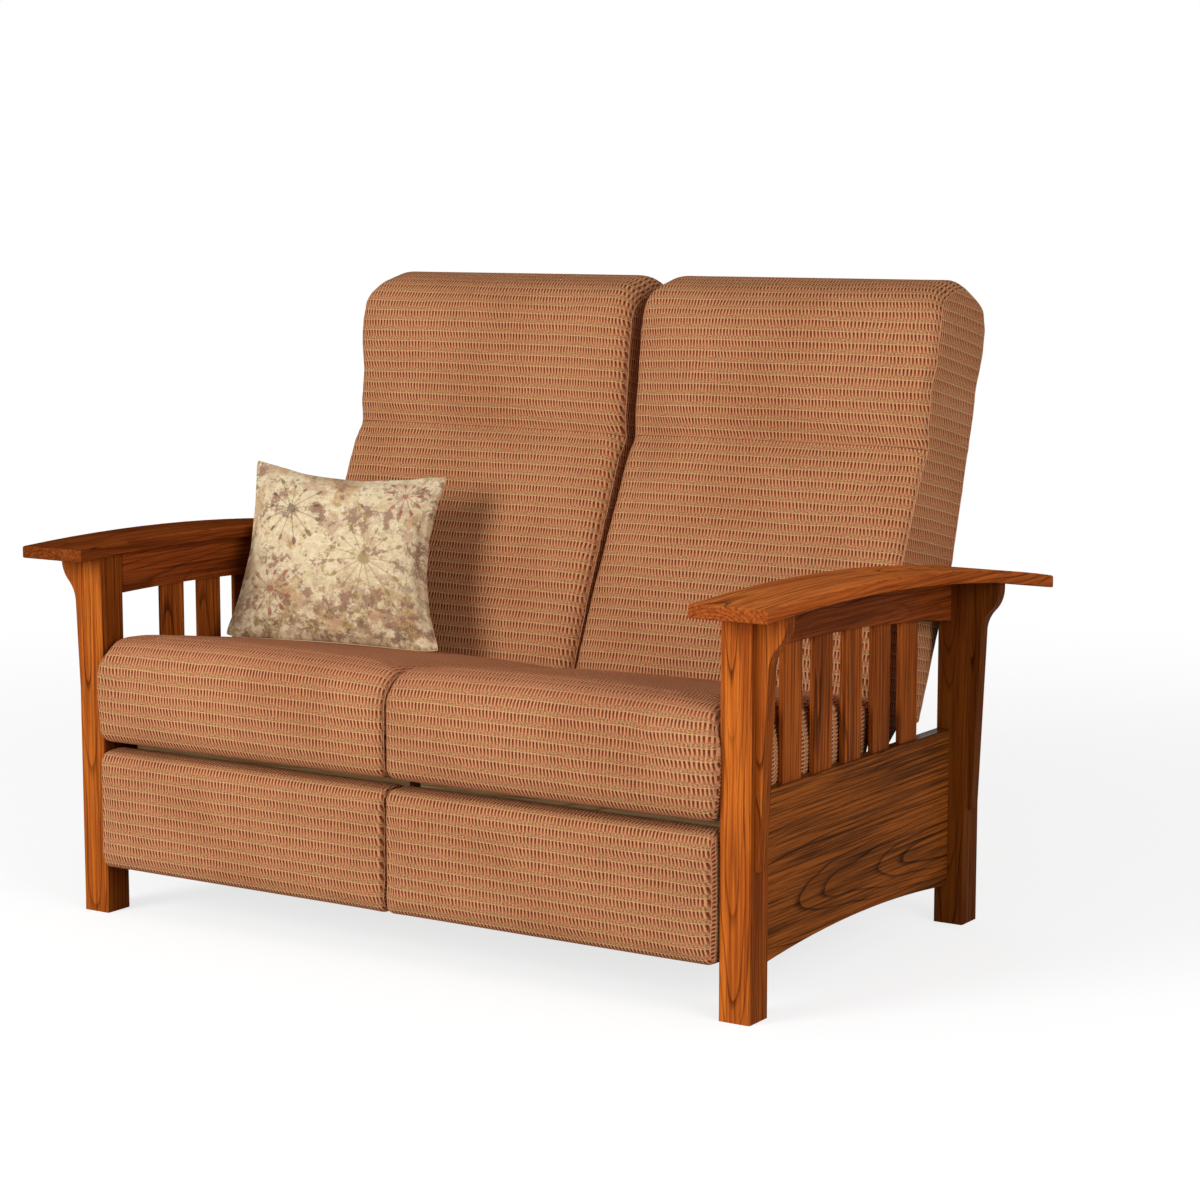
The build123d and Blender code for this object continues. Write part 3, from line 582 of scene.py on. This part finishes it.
class Form:
    """A padded form with boxed sides, built about the middle of the seat.

    Its edges are rounded towards the side seams, with a radius that depends on where the cover
    faces: the front, the top, the rear or the bottom.
    """

    seam_angle = math.radians(70)
    edge_turn = math.radians(80)
    edge_steps = 7
    boxing_slope = 90.0
    boxing_bulge = 1.5 * MM
    boxing_ramp = 4
    inner_rounding = 1.0
    # How much painted top tint the cover takes at most, and between which upward parts of a normal
    # it comes in
    top_tint_share = 0.0
    level = (0.5, 0.97)

    def __init__(self, corners, low, high, half_width, edges, boxing_columns=9):
        outline = rounded_outline(corners)
        front, rear = matched(*halves(outline, low, high))
        self.half = len(front)
        self.points = front + rear[-2:0:-1]
        self.around = len(self.points)
        self.half_width = half_width
        self.edges = edges
        self.columns = boxing_columns
        reach = max(edges.values())
        steps = math.ceil((half_width - reach) / GRID)
        flat = [(half_width - reach) * step / steps for step in range(steps)]
        last = math.sin(self.edge_turn)
        turns = [self.edge_turn * step / self.edge_steps for step in range(self.edge_steps + 1)]
        right = flat + [half_width - reach * (1 - math.sin(turn) / last) for turn in turns]
        self.stations = [-x for x in right[:0:-1]] + right
        self.across = len(self.stations)
        self.lengths = running_lengths(self.points + self.points[:1])
        self.normals = []
        for index in range(self.around):
            along = self.points[(index + 1) % self.around] - self.points[index - 1]
            self.normals.append(Vector((-along.y, along.x)).normalized())
        self.radii = [self.edge_radius(normal) for normal in self.normals]

    def edge_radius(self, normal):
        level = "top" if normal.y > 0 else "bottom"
        upright = "front" if normal.x < 0 else "rear"
        return self.edges[upright] * normal.x**2 + self.edges[level] * normal.y**2

    def draw(self, x, radius):
        """How far the cover is drawn in at x from the middle."""
        over = abs(x) - self.half_width + radius
        if over <= 0:
            return 0.0
        return radius * (1 - math.sqrt(1 - (over / radius * math.sin(self.seam_angle)) ** 2))

    def shape(self, x, y, z, outer):
        """Room for a form to move its points; outer is the sign of x away from the other seat."""
        return x, y, z

    def cloth_place(self, number, span, middle):
        """Where a point lies on the cloth; middle tells which face of the outline asks."""
        return span, self.lengths[number]

    def boxing_place(self, y, z):
        """Where a point of the boxed side lies on the cloth, whose rows are turned by the slope."""
        turn = math.radians(self.boxing_slope)
        return y * math.cos(turn) - z * math.sin(turn), y * math.sin(turn) + z * math.cos(turn)

    def vertex(self, station, number):
        return station * self.around + number % self.around

    def seam_ring(self, station):
        return [self.vertex(station, number) for number in range(self.around)]

    def add_skin(self, vertices, faces, maps, outer):
        """The padded face that runs round the outline, from one side seam to the other."""
        spans = [0.0]
        usual = self.edges["front"]
        ends = [(x, self.draw(x, usual)) for x in self.stations]
        for before, after in zip(ends, ends[1:]):
            spans.append(spans[-1] + math.dist(before, after))
        for x in self.stations:
            rounding = self.inner_rounding if x * outer < 0 else 1.0
            for point, normal, radius in zip(self.points, self.normals, self.radii):
                moved = point - normal * self.draw(x, radius * rounding)
                vertices.append(self.shape(x, moved.x, moved.y, outer))
        for i in range(self.across - 1):
            near, far = spans[i], spans[i + 1]
            for j in range(self.around):
                ring = ((i, j, near), (i + 1, j, far), (i + 1, j + 1, far), (i, j + 1, near))
                middle = (j + 0.5) % self.around
                faces.append(tuple(self.vertex(station, number) for station, number, _ in ring))
                maps.append([self.cloth_place(number, span, middle) for _, number, span in ring])

    def add_boxing(self, vertices, faces, maps, station, side):
        """A boxed side, as a grid between the front and rear halves of the outline."""
        grid = []
        for row in range(self.half):
            front = self.vertex(station, row)
            rear = self.vertex(station, self.around - row)
            if row in (0, self.half - 1):
                grid.append([front] * (self.columns + 1))
                continue
            line = [front]
            for column in range(1, self.columns):
                share = column / self.columns
                place = Vector(vertices[front]).lerp(Vector(vertices[rear]), share)
                ramp = self.boxing_ramp
                place.x += side * self.boxing_bulge * min(1.0, ramp * share, ramp * (1 - share))
                line.append(len(vertices))
                vertices.append(tuple(place))
            grid.append([*line, rear])
        for row in range(self.half - 1):
            for column in range(self.columns):
                near, far = grid[row], grid[row + 1]
                corners = (near[column], near[column + 1], far[column + 1], far[column])
                corners = tuple(dict.fromkeys(corners))
                faces.append(corners)
                maps.append([self.boxing_place(vertices[c][1], vertices[c][2]) for c in corners])

    def build(self, name, middle_x):
        vertices, faces, maps = [], [], []
        self.add_skin(vertices, faces, maps, math.copysign(1, middle_x))
        for station, side in ((0, -1), (self.across - 1, 1)):
            self.add_boxing(vertices, faces, maps, station, side)
        piece = mesh_piece(name, vertices, faces, maps)
        move_to(piece.data, places(piece.data) + (middle_x, 0, 0))
        top_tint = [self.top_tint_share * eased(normal.y, *self.level) for normal in self.normals]
        values = np.zeros(len(vertices), np.float32)
        values[: self.across * self.around] = top_tint * self.across
        piece.data.attributes.new(TOP_TINT, "FLOAT", "POINT").data.foreach_set("value", values)
        return piece


GATHER_WAVES = (0.019, 0.027, 0.041, 0.066, 0.11)
GATHER_DEPTH = 0.35 * MM
GATHER_REACH = 30 * MM
GATHER_END = 0.03


def gather(form, piece, seed):
    """Small ripples where a cover is drawn to its side seams, which fade away from them."""
    points = places(piece.data)
    random = np.random.default_rng(seed)
    for side in (-1, 1):
        phases = random.uniform(0, 2 * math.pi, len(GATHER_WAVES))
        for i, x in enumerate(form.stations):
            gap = form.half_width - side * x
            fade = math.exp(-gap / GATHER_REACH)
            if fade < GATHER_END:
                continue
            for j in range(form.around):
                ripple = sum(
                    math.sin(2 * math.pi * form.lengths[j] / wave + phase)
                    for wave, phase in zip(GATHER_WAVES, phases)
                )
                normal = form.normals[j]
                points[form.vertex(i, j), 1] += normal.x * ripple * GATHER_DEPTH * fade
                points[form.vertex(i, j), 2] += normal.y * ripple * GATHER_DEPTH * fade
    move_to(piece.data, points)


SWELL_FRAMES = 20
TINY = 1e-9


def swell(piece, pinned, pressure, limit, stiffness=18.0, bending=0.6, sink=0.5 * MM):
    """Swell a cover. Pinned points stay, and others move up to limit, and inwards up to sink."""
    before = places(piece.data)
    sewn = piece.vertex_groups.new(name="sewn")
    sewn.add([int(index) for index in pinned], 1.0, "REPLACE")
    cloth = piece.modifiers.new("cloth", "CLOTH")
    cloth.point_cache.frame_start = 1
    cloth.point_cache.frame_end = SWELL_FRAMES
    for key, value in dict(
        quality=4, mass=0.25, tension_stiffness=stiffness, compression_stiffness=stiffness,
        shear_stiffness=stiffness / 2, bending_stiffness=bending, air_damping=3.0,
        vertex_group_mass="sewn", use_pressure=True, uniform_pressure_force=pressure,
    ).items():
        setattr(cloth.settings, key, value)
    cloth.settings.effector_weights.gravity = 0.0
    cloth.collision_settings.use_collision = False
    for number in range(1, SWELL_FRAMES + 1):
        bpy.context.scene.frame_set(number)
    evaluated = piece.evaluated_get(bpy.context.evaluated_depsgraph_get())
    after = places(evaluated.data)
    bpy.context.scene.frame_set(1)
    piece.modifiers.remove(cloth)
    piece.vertex_groups.remove(sewn)
    shift = after - before
    outwards = np.zeros(len(before) * 3, np.float32)
    piece.data.vertex_normals.foreach_get("vector", outwards)
    outwards = outwards.reshape(-1, 3)
    sunk = np.minimum((shift * outwards).sum(axis=1, keepdims=True) + sink, 0.0)
    shift -= outwards * sunk
    size = np.linalg.norm(shift, axis=1, keepdims=True)
    capped = limit * np.tanh(size / limit)
    move_to(piece.data, before + shift * capped / np.maximum(size, TINY))


def smooth_shaded(piece, material):
    piece.data.materials.append(material)
    piece.data.shade_smooth()
    fine = piece.modifiers.new("subdivision", "SUBSURF")
    fine.levels = fine.render_levels = 1


def seam_thread(name, dark, pale):
    s = Shader(name)
    twist = s.noise(s.objects(), scale=700.0)
    return s.surface(s.mix(twist, dark, pale), s.bump(twist, 0.2 * MM, 0.6), 0.85)


cloth_material = row_cloth()
thread_material = seam_thread("seam_thread", srgb(150, 92, 60), srgb(214, 160, 116))
# A darker copy of the seam thread for the seam under the headrest: painted shade of its crease
shaded_seam_material = seam_thread("seam_thread_painted_shade", srgb(66, 28, 16), srgb(112, 56, 34))
THREAD_RADIUS = 0.8 * MM


def seam_cord(name, piece, rings, body, slot, material, closed=True):
    """The sewn edges of a cover, as a thin cord along each ring or line of its points."""
    points = places(piece.data)
    curve = bpy.data.curves.new(name, "CURVE")
    curve.dimensions = "3D"
    curve.bevel_depth = THREAD_RADIUS
    curve.bevel_resolution = 2
    for ring in rings:
        spline = curve.splines.new("NURBS")
        spline.points.add(len(ring) - 1)
        for point, index in zip(spline.points, ring):
            point.co = (*points[index], 1.0)
        spline.order_u = 3
        spline.use_cyclic_u = closed
        spline.use_endpoint_u = not closed
    curve.materials.append(material)
    cord = link(bpy.data.objects.new(name, curve))
    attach(cord, body)


# Main sizes of the upholstery
SEAT_X = 306 * MM
SEAT_HALF = 303 * MM
BACK_X = 300 * MM
BACK_HALF = 297 * MM
# The foot of the back's front face, in millimetres of y and z, its lean and the seat's gap to it
BACK_FOOT = (59, 352)
BACK_LEAN = 79 / 195
BACK_GAP = 1.2


def back_line(height):
    """Y of the seat's rear face, which follows the back's front, at a height in millimetres."""
    y, z = BACK_FOOT
    return (y + (height - z) * BACK_LEAN - BACK_GAP) * MM


class SeatForm(Form):
    boxing_bulge = 2.5 * MM
    top_tint_share = 1.0
    crown = 7 * MM
    bottom = 304 * MM
    top = 491 * MM
    post_front = -0.437
    post_blend = 12 * MM
    post_reach = 0.06
    post_overlap = 9 * MM

    def shape(self, x, y, z, outer):
        """Crowned, and with a nose that bulges sideways before the front post."""
        bow = 1 - (x / self.half_width) ** 2
        high = share_of(z, self.bottom, self.top)
        beside = eased(x * outer, self.half_width - self.post_reach, self.half_width)
        over_post = eased(self.post_front - y, 0.0, self.post_blend) * beside
        belly = math.sin(math.pi * high)
        return x + outer * self.post_overlap * over_post * belly, y, z + self.crown * bow * high


seat_form = SeatForm(
    corners=[
        (-0.457, 0.304, 0.026), (back_line(304), 0.304, 0.010),
        (back_line(413), 0.413, 0.010), (-0.457, 0.491, 0.062),
    ],
    low=(-0.25, 0.304),
    high=(-0.20, 0.458),
    half_width=SEAT_HALF,
    edges=dict(front=17 * MM, top=19 * MM, rear=6 * MM, bottom=12 * MM),
)


class BackForm(Form):
    boxing_slope = 12.0
    boxing_bulge = 0.7 * MM
    inner_rounding = 1.6
    seam_height = 0.814
    seam_margin = 1 * MM
    seam_shift = 9 * MM
    spread = 7 * MM
    parting = 9 * MM
    # The heights between which these come in
    spreading, drawing_in, parting_out = (0.90, 0.97), (1.03, 1.09), (0.40, 0.95)

    def shape(self, x, y, z, outer):
        """Above the arms the padding spreads outwards, and the backs part; the top draws in."""
        rising = eased(z, *self.spreading) - 2 * eased(z, *self.drawing_in)
        spread = self.spread * eased(x * outer, 0.0, self.half_width) * rising
        inner = eased(-x * outer, 0.5 * self.half_width, self.half_width)
        parting = self.parting * inner * eased(z, *self.parting_out)
        return x + outer * (spread + parting), y, z

    def cloth_place(self, number, span, middle):
        """The headrest and the lower pad are cut apart, so their rows don't meet at the seam."""
        below = self.seam_height - self.seam_margin
        low = middle < self.half and self.points[int(middle)].y < below
        shift = self.seam_shift if low else 0.0
        return span + shift / 3, self.lengths[number] + shift

    def seam_row(self):
        """Points of the seam under the headrest, from side to side."""
        front = range(self.half)
        nearest = min(front, key=lambda number: abs(self.points[number].y - self.seam_height))
        return [self.vertex(station, nearest) for station in range(self.across)]


back_form = BackForm(
    corners=[
        (0.059, 0.352, 0.010), (0.262, 0.345, 0.010), (0.382, 0.609, 0.030),
        (0.458, 0.869, 0.030), (0.482, 1.006, 0.030), (0.462, 1.112, 0.080),
        (0.301, 1.071, 0.070), (0.284, 1.000, 0.030), (0.266, 0.846, 0.020),
        (0.268, 0.814, 0.003), (0.246, 0.785, 0.026), (0.138, 0.547, 0.060),
    ],
    low=(0.15, 0.349),
    high=(0.39, 1.085),
    half_width=BACK_HALF,
    edges=dict(front=21 * MM, top=24 * MM, rear=7 * MM, bottom=8 * MM),
    boxing_columns=14,
)


footrest_form = Form(
    corners=[
        (-0.457, 0.084, 0.020), (-0.392, 0.084, 0.006),
        (-0.392, 0.290, 0.006), (-0.457, 0.290, 0.020),
    ],
    low=(-0.425, 0.084),
    high=(-0.425, 0.290),
    half_width=SEAT_HALF,
    edges=dict(front=11 * MM, top=9 * MM, rear=4 * MM, bottom=9 * MM),
    boxing_columns=6,
)


def dress(kind, form, node, body, middle_x, pinned, pressure, limit, seed):
    """A cover for each side's cushion, swollen and sewn."""
    for side, sign in SIDES.items():
        piece = form.build(f"{side}_{kind}", sign * middle_x)
        gather(form, piece, seed + sign)
        swell(piece, pinned(places(piece.data)), pressure, limit)
        smooth_shaded(piece, cloth_material)
        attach(piece, f"{side}_{body}")
        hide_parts(f"{side}_{node}")
        home = (f"{side}_{body}", "upholstery")
        rings = [form.seam_ring(0), form.seam_ring(form.across - 1)]
        seam_cord(f"{side}_{kind}_seams", piece, rings, *home, thread_material)
        if isinstance(form, BackForm):
            row = [form.seam_row()]
            # The seam under the headrest takes the darker thread, as painted shade
            seam_cord(f"{side}_headrest_seam", piece, row, *home, shaded_seam_material, False)


# What stays when covers swell: where they lie on boards, on each other or by an arm
SEAT_LOW, SEAT_REAR, SEAT_INNER = 0.325, 0.012, 6 * MM
BACK_LOW, BACK_REAR = 0.38, 0.016
BACK_REAR_LINE = ((0.345, 0.609, 0.869, 1.036, 1.100), (0.262, 0.382, 0.458, 0.482, 0.462))
ARM_INNER, ARM_HIGH = 0.588, 0.92
FOOTREST_REAR = -0.403


def seat_pins(points):
    x, y, z = points.T
    beside_other_seat = np.abs(x) < SEAT_INNER
    return np.flatnonzero((z < SEAT_LOW) | (y > back_line(z / MM) - SEAT_REAR) | beside_other_seat)


def back_pins(points):
    x, y, z = points.T
    rear = y > np.interp(z, *BACK_REAR_LINE) - BACK_REAR
    beside_arm = (np.abs(x) > ARM_INNER) & (z < ARM_HIGH)
    return np.flatnonzero((z < BACK_LOW) | rear | beside_arm)


def footrest_pins(points):
    return np.flatnonzero(points[:, 1] > FOOTREST_REAR)


dress("seat_cover", seat_form, "seat_cushion", "seat", SEAT_X, seat_pins, 4.0, 6 * MM, seed=11)
dress("back_cover", back_form, "back_cushion", "back", BACK_X, back_pins, 4.0, 6 * MM, seed=23)
dress(
    "footrest_cover", footrest_form, "footrest_pad", "footrest", SEAT_X, footrest_pins,
    3.0, 4 * MM, seed=37,
)


# Throw pillow
PILLOW_WIDTH = 388 * MM
PILLOW_HEIGHT = 332 * MM
PILLOW_DEPTH = 124 * MM
PILLOW_COLUMNS = 40
PILLOW_ROWS = 36
# How it sits: the middle of its lower edge, its turns in degrees and its gap to the seat
PILLOW_SEAT = (-0.388, -0.092, 0.0)
PILLOW_TURNS = (("z", 18), ("x", -25), ("y", 2))
PILLOW_GAP = 3 * MM
CREASE_FADE, FINE_CREASES = 5.5, 0.6
CREASE_DEPTH, DIAGONAL_DEPTH = 2.6 * MM, 3.4 * MM


def pillow_place():
    """From the pillow's own frame, with its panels to front and back, to its seat."""
    low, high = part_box("throw_pillow")
    turned = Matrix.Identity(3)
    for axis, degrees in PILLOW_TURNS:
        turned @= Euler([math.radians(degrees) * (letter == axis) for letter in "xyz"]).to_matrix()
    turned = turned.to_4x4()
    half_x, half_z = PILLOW_WIDTH / 2, PILLOW_HEIGHT / 2
    place = Matrix.Translation(Vector(PILLOW_SEAT) + turned @ Vector((0, 0, half_z))) @ turned
    corners = [place @ Vector((x, 0, z)) for x in (-half_x, half_x) for z in (-half_z, half_z)]
    raise_by = low.z - min(corner.z for corner in corners)
    return Matrix.Translation((0, 0, raise_by + PILLOW_GAP)) @ place


def pillow_point(across, up, side):
    """A point of the cover, from -1 to 1 across and up, on the front (-1) or back (1) panel."""
    side_hollow = (0.17 + 0.03 * across) * (1 - up * up)
    end_hollow = (0.17 if up > 0 else 0.03) * (1 - across * across)
    x = across * (1 - side_hollow * abs(across) ** 3) * PILLOW_WIDTH / 2
    z = up * (1 - end_hollow * abs(up) ** 3) * PILLOW_HEIGHT / 2
    blunted_corner = 1 - 0.04 * (abs(across) * abs(up)) ** 10
    taper = 1.02 - 0.05 * up
    slouch = 10 * MM * (1 + up)
    raised_corner = 11 * MM * ((1 - across) * (1 + up) / 4) ** 3
    fullness = ((1 - across**2) * (1 - up**2)) ** 0.42
    thinned_corner = 1 - 0.45 * (abs(across) * abs(up)) ** 3
    x = x * blunted_corner * taper - slouch
    z = z * blunted_corner + raised_corner
    return Vector((x, side * fullness * thinned_corner * PILLOW_DEPTH / 2, z))


def pillow_creases(across, up, phases):
    """Creases that run in from the seam and from the corners, and fade towards the middle."""
    near_side = math.exp(-(1 - abs(across)) * CREASE_FADE)
    near_end = math.exp(-(1 - abs(up)) * CREASE_FADE)
    a, b, c, d = phases
    along_side = math.sin(13 * up + a) + FINE_CREASES * math.sin(23 * up + b)
    along_end = math.sin(12 * across + c) + FINE_CREASES * math.sin(21 * across + d)
    diagonal = math.sin(17 * (abs(across) - abs(up)) + a) * (near_side * near_end) ** 0.5
    straight = near_side * along_side + near_end * along_end
    return straight * CREASE_DEPTH + diagonal * DIAGONAL_DEPTH


def pillow_cover():
    """The cover's two panels, and the ring of points where they are sewn."""
    random = np.random.default_rng(5)
    wide, high = PILLOW_COLUMNS, PILLOW_ROWS
    columns, rows = (
        [math.sin(math.pi / 2 * (2 * number / count - 1)) for number in range(count + 1)]
        for count in (wide, high)
    )
    vertices, faces, maps = [], [], []
    index = {}
    for side in (-1, 1):
        phases = random.uniform(0, 2 * math.pi, 4)
        for row, up in enumerate(rows):
            for column, across in enumerate(columns):
                rim = row in (0, high) or column in (0, wide)
                if rim and side == 1:
                    index[side, row, column] = index[-1, row, column]
                    continue
                point = pillow_point(across, up, side)
                if not rim:
                    point.y += side * pillow_creases(across, up, phases)
                index[side, row, column] = len(vertices)
                vertices.append(tuple(point))
        for row in range(high):
            for column in range(wide):
                ring = [(row, column), (row, column + 1), (row + 1, column + 1), (row + 1, column)]
                ring = ring[::-side]
                faces.append(tuple(index[side, r, c] for r, c in ring))
                maps.append([
                    ((0.5 + 0.5 * columns[c]) * PILLOW_WIDTH, (0.5 + 0.5 * rows[r]) * PILLOW_HEIGHT)
                    for r, c in ring
                ])
    rim = [(0, c) for c in range(wide)] + [(r, wide) for r in range(high)]
    rim += [(high, c) for c in range(wide, 0, -1)] + [(r, 0) for r in range(high, 0, -1)]
    return mesh_piece("pillow_cover", vertices, faces, maps), [index[-1, r, c] for r, c in rim]


CREAM = srgb(212, 190, 152)
SAND = srgb(184, 142, 96)
MAUVE = srgb(138, 98, 82)
OLIVE = srgb(140, 112, 60)
RUST = srgb(150, 66, 56)
UMBER_INK = srgb(84, 56, 42)
COTTON_PITCH = 1.4 * MM
# Where the cover darkens downwards and to the right, in metres on the panel
LOW_PART, RIGHT_PART = (0.03, 0.14), (0.26, 0.40)
# Place in the noise, scale, soft edge, tint, strength, and whether in the dark parts only
BLOTCHES = (
    ((0.51, 0.77, 0), 38.0, (0.55, 0.62), srgb(166, 134, 78), 0.7, False),
    ((0.23, 0.61, 0), 34.0, (0.51, 0.60), srgb(112, 82, 62), 0.75, True),
    ((0.41, 0.93, 0), 17.0, (0.50, 0.62), srgb(176, 140, 112), 0.6, False),
    ((0.11, 0.43, 0), 19.0, (0.53, 0.60), MAUVE, 0.75, False),
    ((0.83, 0.29, 0), 60.0, (0.62, 0.68), UMBER_INK, 0.75, False),
)
# Place on the panel, radius, number of rays, their turn as a share of one, and tint
SEED_HEADS = (
    (0.105, 0.235, 0.072, 13, 0.2, UMBER_INK),
    (0.255, 0.150, 0.084, 15, 0.6, OLIVE),
    (0.085, 0.085, 0.046, 11, 0.1, RUST),
    (0.320, 0.280, 0.044, 11, 0.4, RUST),
    (0.190, 0.300, 0.040, 9, 0.8, SAND),
    (0.330, 0.050, 0.040, 9, 0.3, MAUVE),
)
# Soft edges of rays and dabs, and the reach of rays, dabs and heart as shares of the radius
RAY_EDGE, DAB_EDGE = (0.7 * MM, 1.8 * MM), (3.0 * MM, 4.8 * MM)
RAY_END, DAB_REACH, HEART_EDGE = 0.94, 0.92, (0.13, 0.2)
RAY_SPREAD, RAY_STRENGTH, HEAD_STRENGTH = 0.5, 0.6, 0.72


def printed_cloth():
    """Cream cloth with a loose print: clouded ground, seed heads on fine rays, and small dabs."""
    s = Shader("printed_cloth")
    cloth = s.cloth()
    u, v, _ = s.split(cloth)
    blur = s.noise(cloth, scale=90.0, detail=3.0, roughness=0.7)
    edge = s.subtract(s.noise(cloth, scale=260.0, detail=3.0, roughness=0.75), 0.5)
    ground = s.mix(s.smooth(blur, 0.35, 0.7), CREAM, srgb(230, 214, 180))
    warm = s.noise(s.place(cloth, location=(0.31, 0.17, 0)), scale=11.0, detail=3.0, roughness=0.6)
    colour = s.mix(s.times(s.smooth(warm, 0.52, 0.66), 0.75), ground, SAND)
    low = s.fade(s.add(v, s.times(edge, 0.08)), *LOW_PART)
    mottle = s.noise(s.place(cloth, location=(0.7, 0.2, 0)), scale=30.0, detail=4.0, roughness=0.75)
    mottle = s.smooth(mottle, 0.44, 0.62)
    colour = s.mix(s.times(s.times(low, mottle), 0.9), colour, OLIVE)

    def seed_head(colour, x, y, radius, rays, start, tint):
        """Fine rays about a point, each with a dab at its end."""
        along_x, along_y = s.subtract(u, x), s.subtract(v, y)
        distance = s.add(s.length(along_x, along_y), s.times(edge, 0.012))
        turn = s.math("ARCTAN2", along_y, along_x)
        counted = s.add(s.times(turn, rays / (2 * math.pi)), start)
        chance = s.lot(W=s.floor(counted))
        distance = s.times(distance, s.add(1.0, s.times(chance, RAY_SPREAD)))
        aside = s.size(s.subtract(s.fract(counted), 0.5))
        off = s.times(aside, s.times(distance, 2 * math.pi / rays))
        ray = s.times(s.fade(off, *RAY_EDGE), s.fade(distance, radius * RAY_END, radius))
        tip = s.size(s.subtract(distance, radius * DAB_REACH))
        dab_size = s.root(s.add(s.times(off, off), s.times(s.times(tip, tip), 0.25)))
        dab = s.fade(s.add(dab_size, s.times(edge, 0.004)), *DAB_EDGE)
        heart = s.fade(distance, *(radius * share for share in HEART_EDGE))
        mark = s.larger(s.larger(s.times(ray, RAY_STRENGTH), dab), heart)
        return s.mix(s.times(mark, HEAD_STRENGTH), colour, tint)

    dusk = s.larger(low, s.smooth(u, *RIGHT_PART))
    for place, scale, soft_edge, tint, strength, only_dusk in BLOTCHES:
        spots = s.noise(s.place(cloth, location=place), scale, detail=4.0, roughness=0.8)
        share = s.times(dusk, strength) if only_dusk else strength
        colour = s.mix(s.times(s.smooth(spots, *soft_edge), share), colour, tint)
    for head in SEED_HEADS:
        colour = seed_head(colour, *head)
    slub = s.noise(s.place(cloth, scale=(90, 900, 1)), roughness=0.6)
    crossing = s.times(s.wave(u, COTTON_PITCH), s.wave(v, COTTON_PITCH))
    weave = s.add(s.times(crossing, 0.5), slub)
    shade = s.times(s.smooth(weave, 0.2, 0.9), 0.22)
    colour = s.mix(shade, colour, srgb(176, 150, 112), "MULTIPLY")
    gleam = {"Sheen Weight": 0.1, "Specular IOR Level": 0.2}
    return s.surface(colour, s.bump(weave, 0.25 * MM, 0.5), 0.85, gleam)


def throw_pillow():
    cover, rim = pillow_cover()
    swell(cover, rim, 3.0, 5 * MM, stiffness=30.0, bending=0.3, sink=3 * MM)
    place = pillow_place()
    move_to(cover.data, np.array([place @ Vector(point) for point in places(cover.data)]))
    smooth_shaded(cover, printed_cloth())
    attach(cover, "left_seat")
    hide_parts("throw_pillow")
    thread = seam_thread("pillow_thread", SAND, CREAM)
    seam_cord("pillow_seam", cover, [rim], "left_seat", "pillow_fabric", thread)


throw_pillow()


# Floor, lights and camera
FLOOR_SIZE = 14.0
FLOOR_GREY = (0.55, 0.55, 0.55, 1)
# Where the floor's shadow fades out, how much of it shows, and what the floor's glow loses there
SHADOW_REACH, SHADOW_SHARE, GLOW_LOSS = (1.2, 4.0), 0.32, 0.26
# The surroundings' brightness as light, and as seen straight or in reflections
WORLD_LIGHT, WORLD_SEEN = 0.40, 1.0
LIGHT_AIM = (0, 0, 0.6)
CAMERA_PLACE = (2.758, -4.079, 1.225)
CAMERA_FORWARD = (-0.5377, 0.8319, -0.1368)


def stage_material():
    """Pale floor. The camera sees it as white, with a soft share of the object's shadow."""
    s = Shader("pale_floor")
    s.tree.nodes.remove(s.tree.nodes["Principled BSDF"])
    plain = s.node("ShaderNodeBsdfDiffuse", {"Color": FLOOR_GREY})
    x, y, _ = s.split(s.objects())
    near = s.fade(s.length(x, y), *SHADOW_REACH)
    share = s.times(near, SHADOW_SHARE)
    shaded = s.node("ShaderNodeBsdfDiffuse", {"Color": s.join(share, share, share)})
    strength = s.subtract(1.0, s.times(near, GLOW_LOSS))
    glow = s.node("ShaderNodeEmission", {"Color": WHITE, "Strength": strength})
    both = s.node("ShaderNodeAddShader", {0: shaded.outputs[0], 1: glow.outputs[0]})
    seen = s.node("ShaderNodeLightPath").outputs["Is Camera Ray"]
    chosen = s.node("ShaderNodeMixShader", {"Fac": seen, 1: plain.outputs[0], 2: both.outputs[0]})
    s.feed(s.tree.nodes["Material Output"].inputs["Surface"], chosen.outputs[0])
    return s.owner


def ground():
    mesh = bpy.data.meshes.new("floor")
    ring = [(x * FLOOR_SIZE, y * FLOOR_SIZE, 0) for x, y in ((-1, -1), (1, -1), (1, 1), (-1, 1))]
    mesh.from_pydata(ring, [], [(0, 1, 2, 3)])
    mesh.materials.append(stage_material())
    floor = link(bpy.data.objects.new("floor", mesh))


def surroundings():
    s = Shader("studio", "worlds")
    path = s.node("ShaderNodeLightPath").outputs
    mirrored = s.larger(path["Is Glossy Ray"], path["Is Transmission Ray"])
    seen = s.larger(path["Is Camera Ray"], mirrored)
    inputs = {"Value": seen, "To Min": WORLD_LIGHT, "To Max": WORLD_SEEN}
    background = s.tree.nodes["Background"].inputs
    s.feed(background["Color"], WHITE)
    s.feed(background["Strength"], s.node("ShaderNodeMapRange", inputs).outputs["Result"])
    bpy.context.scene.world = s.owner


def turned_to(direction):
    return Vector(direction).to_track_quat("-Z", "Y").to_euler()


def soft_light(name, place, size, power):
    light = bpy.data.lights.new(name, "AREA")
    light.shape = "DISK"
    light.size = size
    light.energy = power
    lamp = link(bpy.data.objects.new(name, light))
    lamp.location = place
    lamp.rotation_euler = turned_to(Vector(LIGHT_AIM) - Vector(place))


def photograph_camera():
    camera = bpy.data.cameras.new("camera")
    camera.sensor_width = 36
    camera.lens = 86.48
    view = link(bpy.data.objects.new("camera", camera))
    view.location = CAMERA_PLACE
    view.rotation_euler = turned_to(CAMERA_FORWARD)
    bpy.context.scene.camera = view


ground()
surroundings()
soft_light("key", (-1.7, -4.4, 1.9), size=2.4, power=180)
soft_light("fill", (3.8, -1.6, 1.8), size=2.6, power=78)
photograph_camera()
bpy.context.scene.view_settings.view_transform = "Standard"
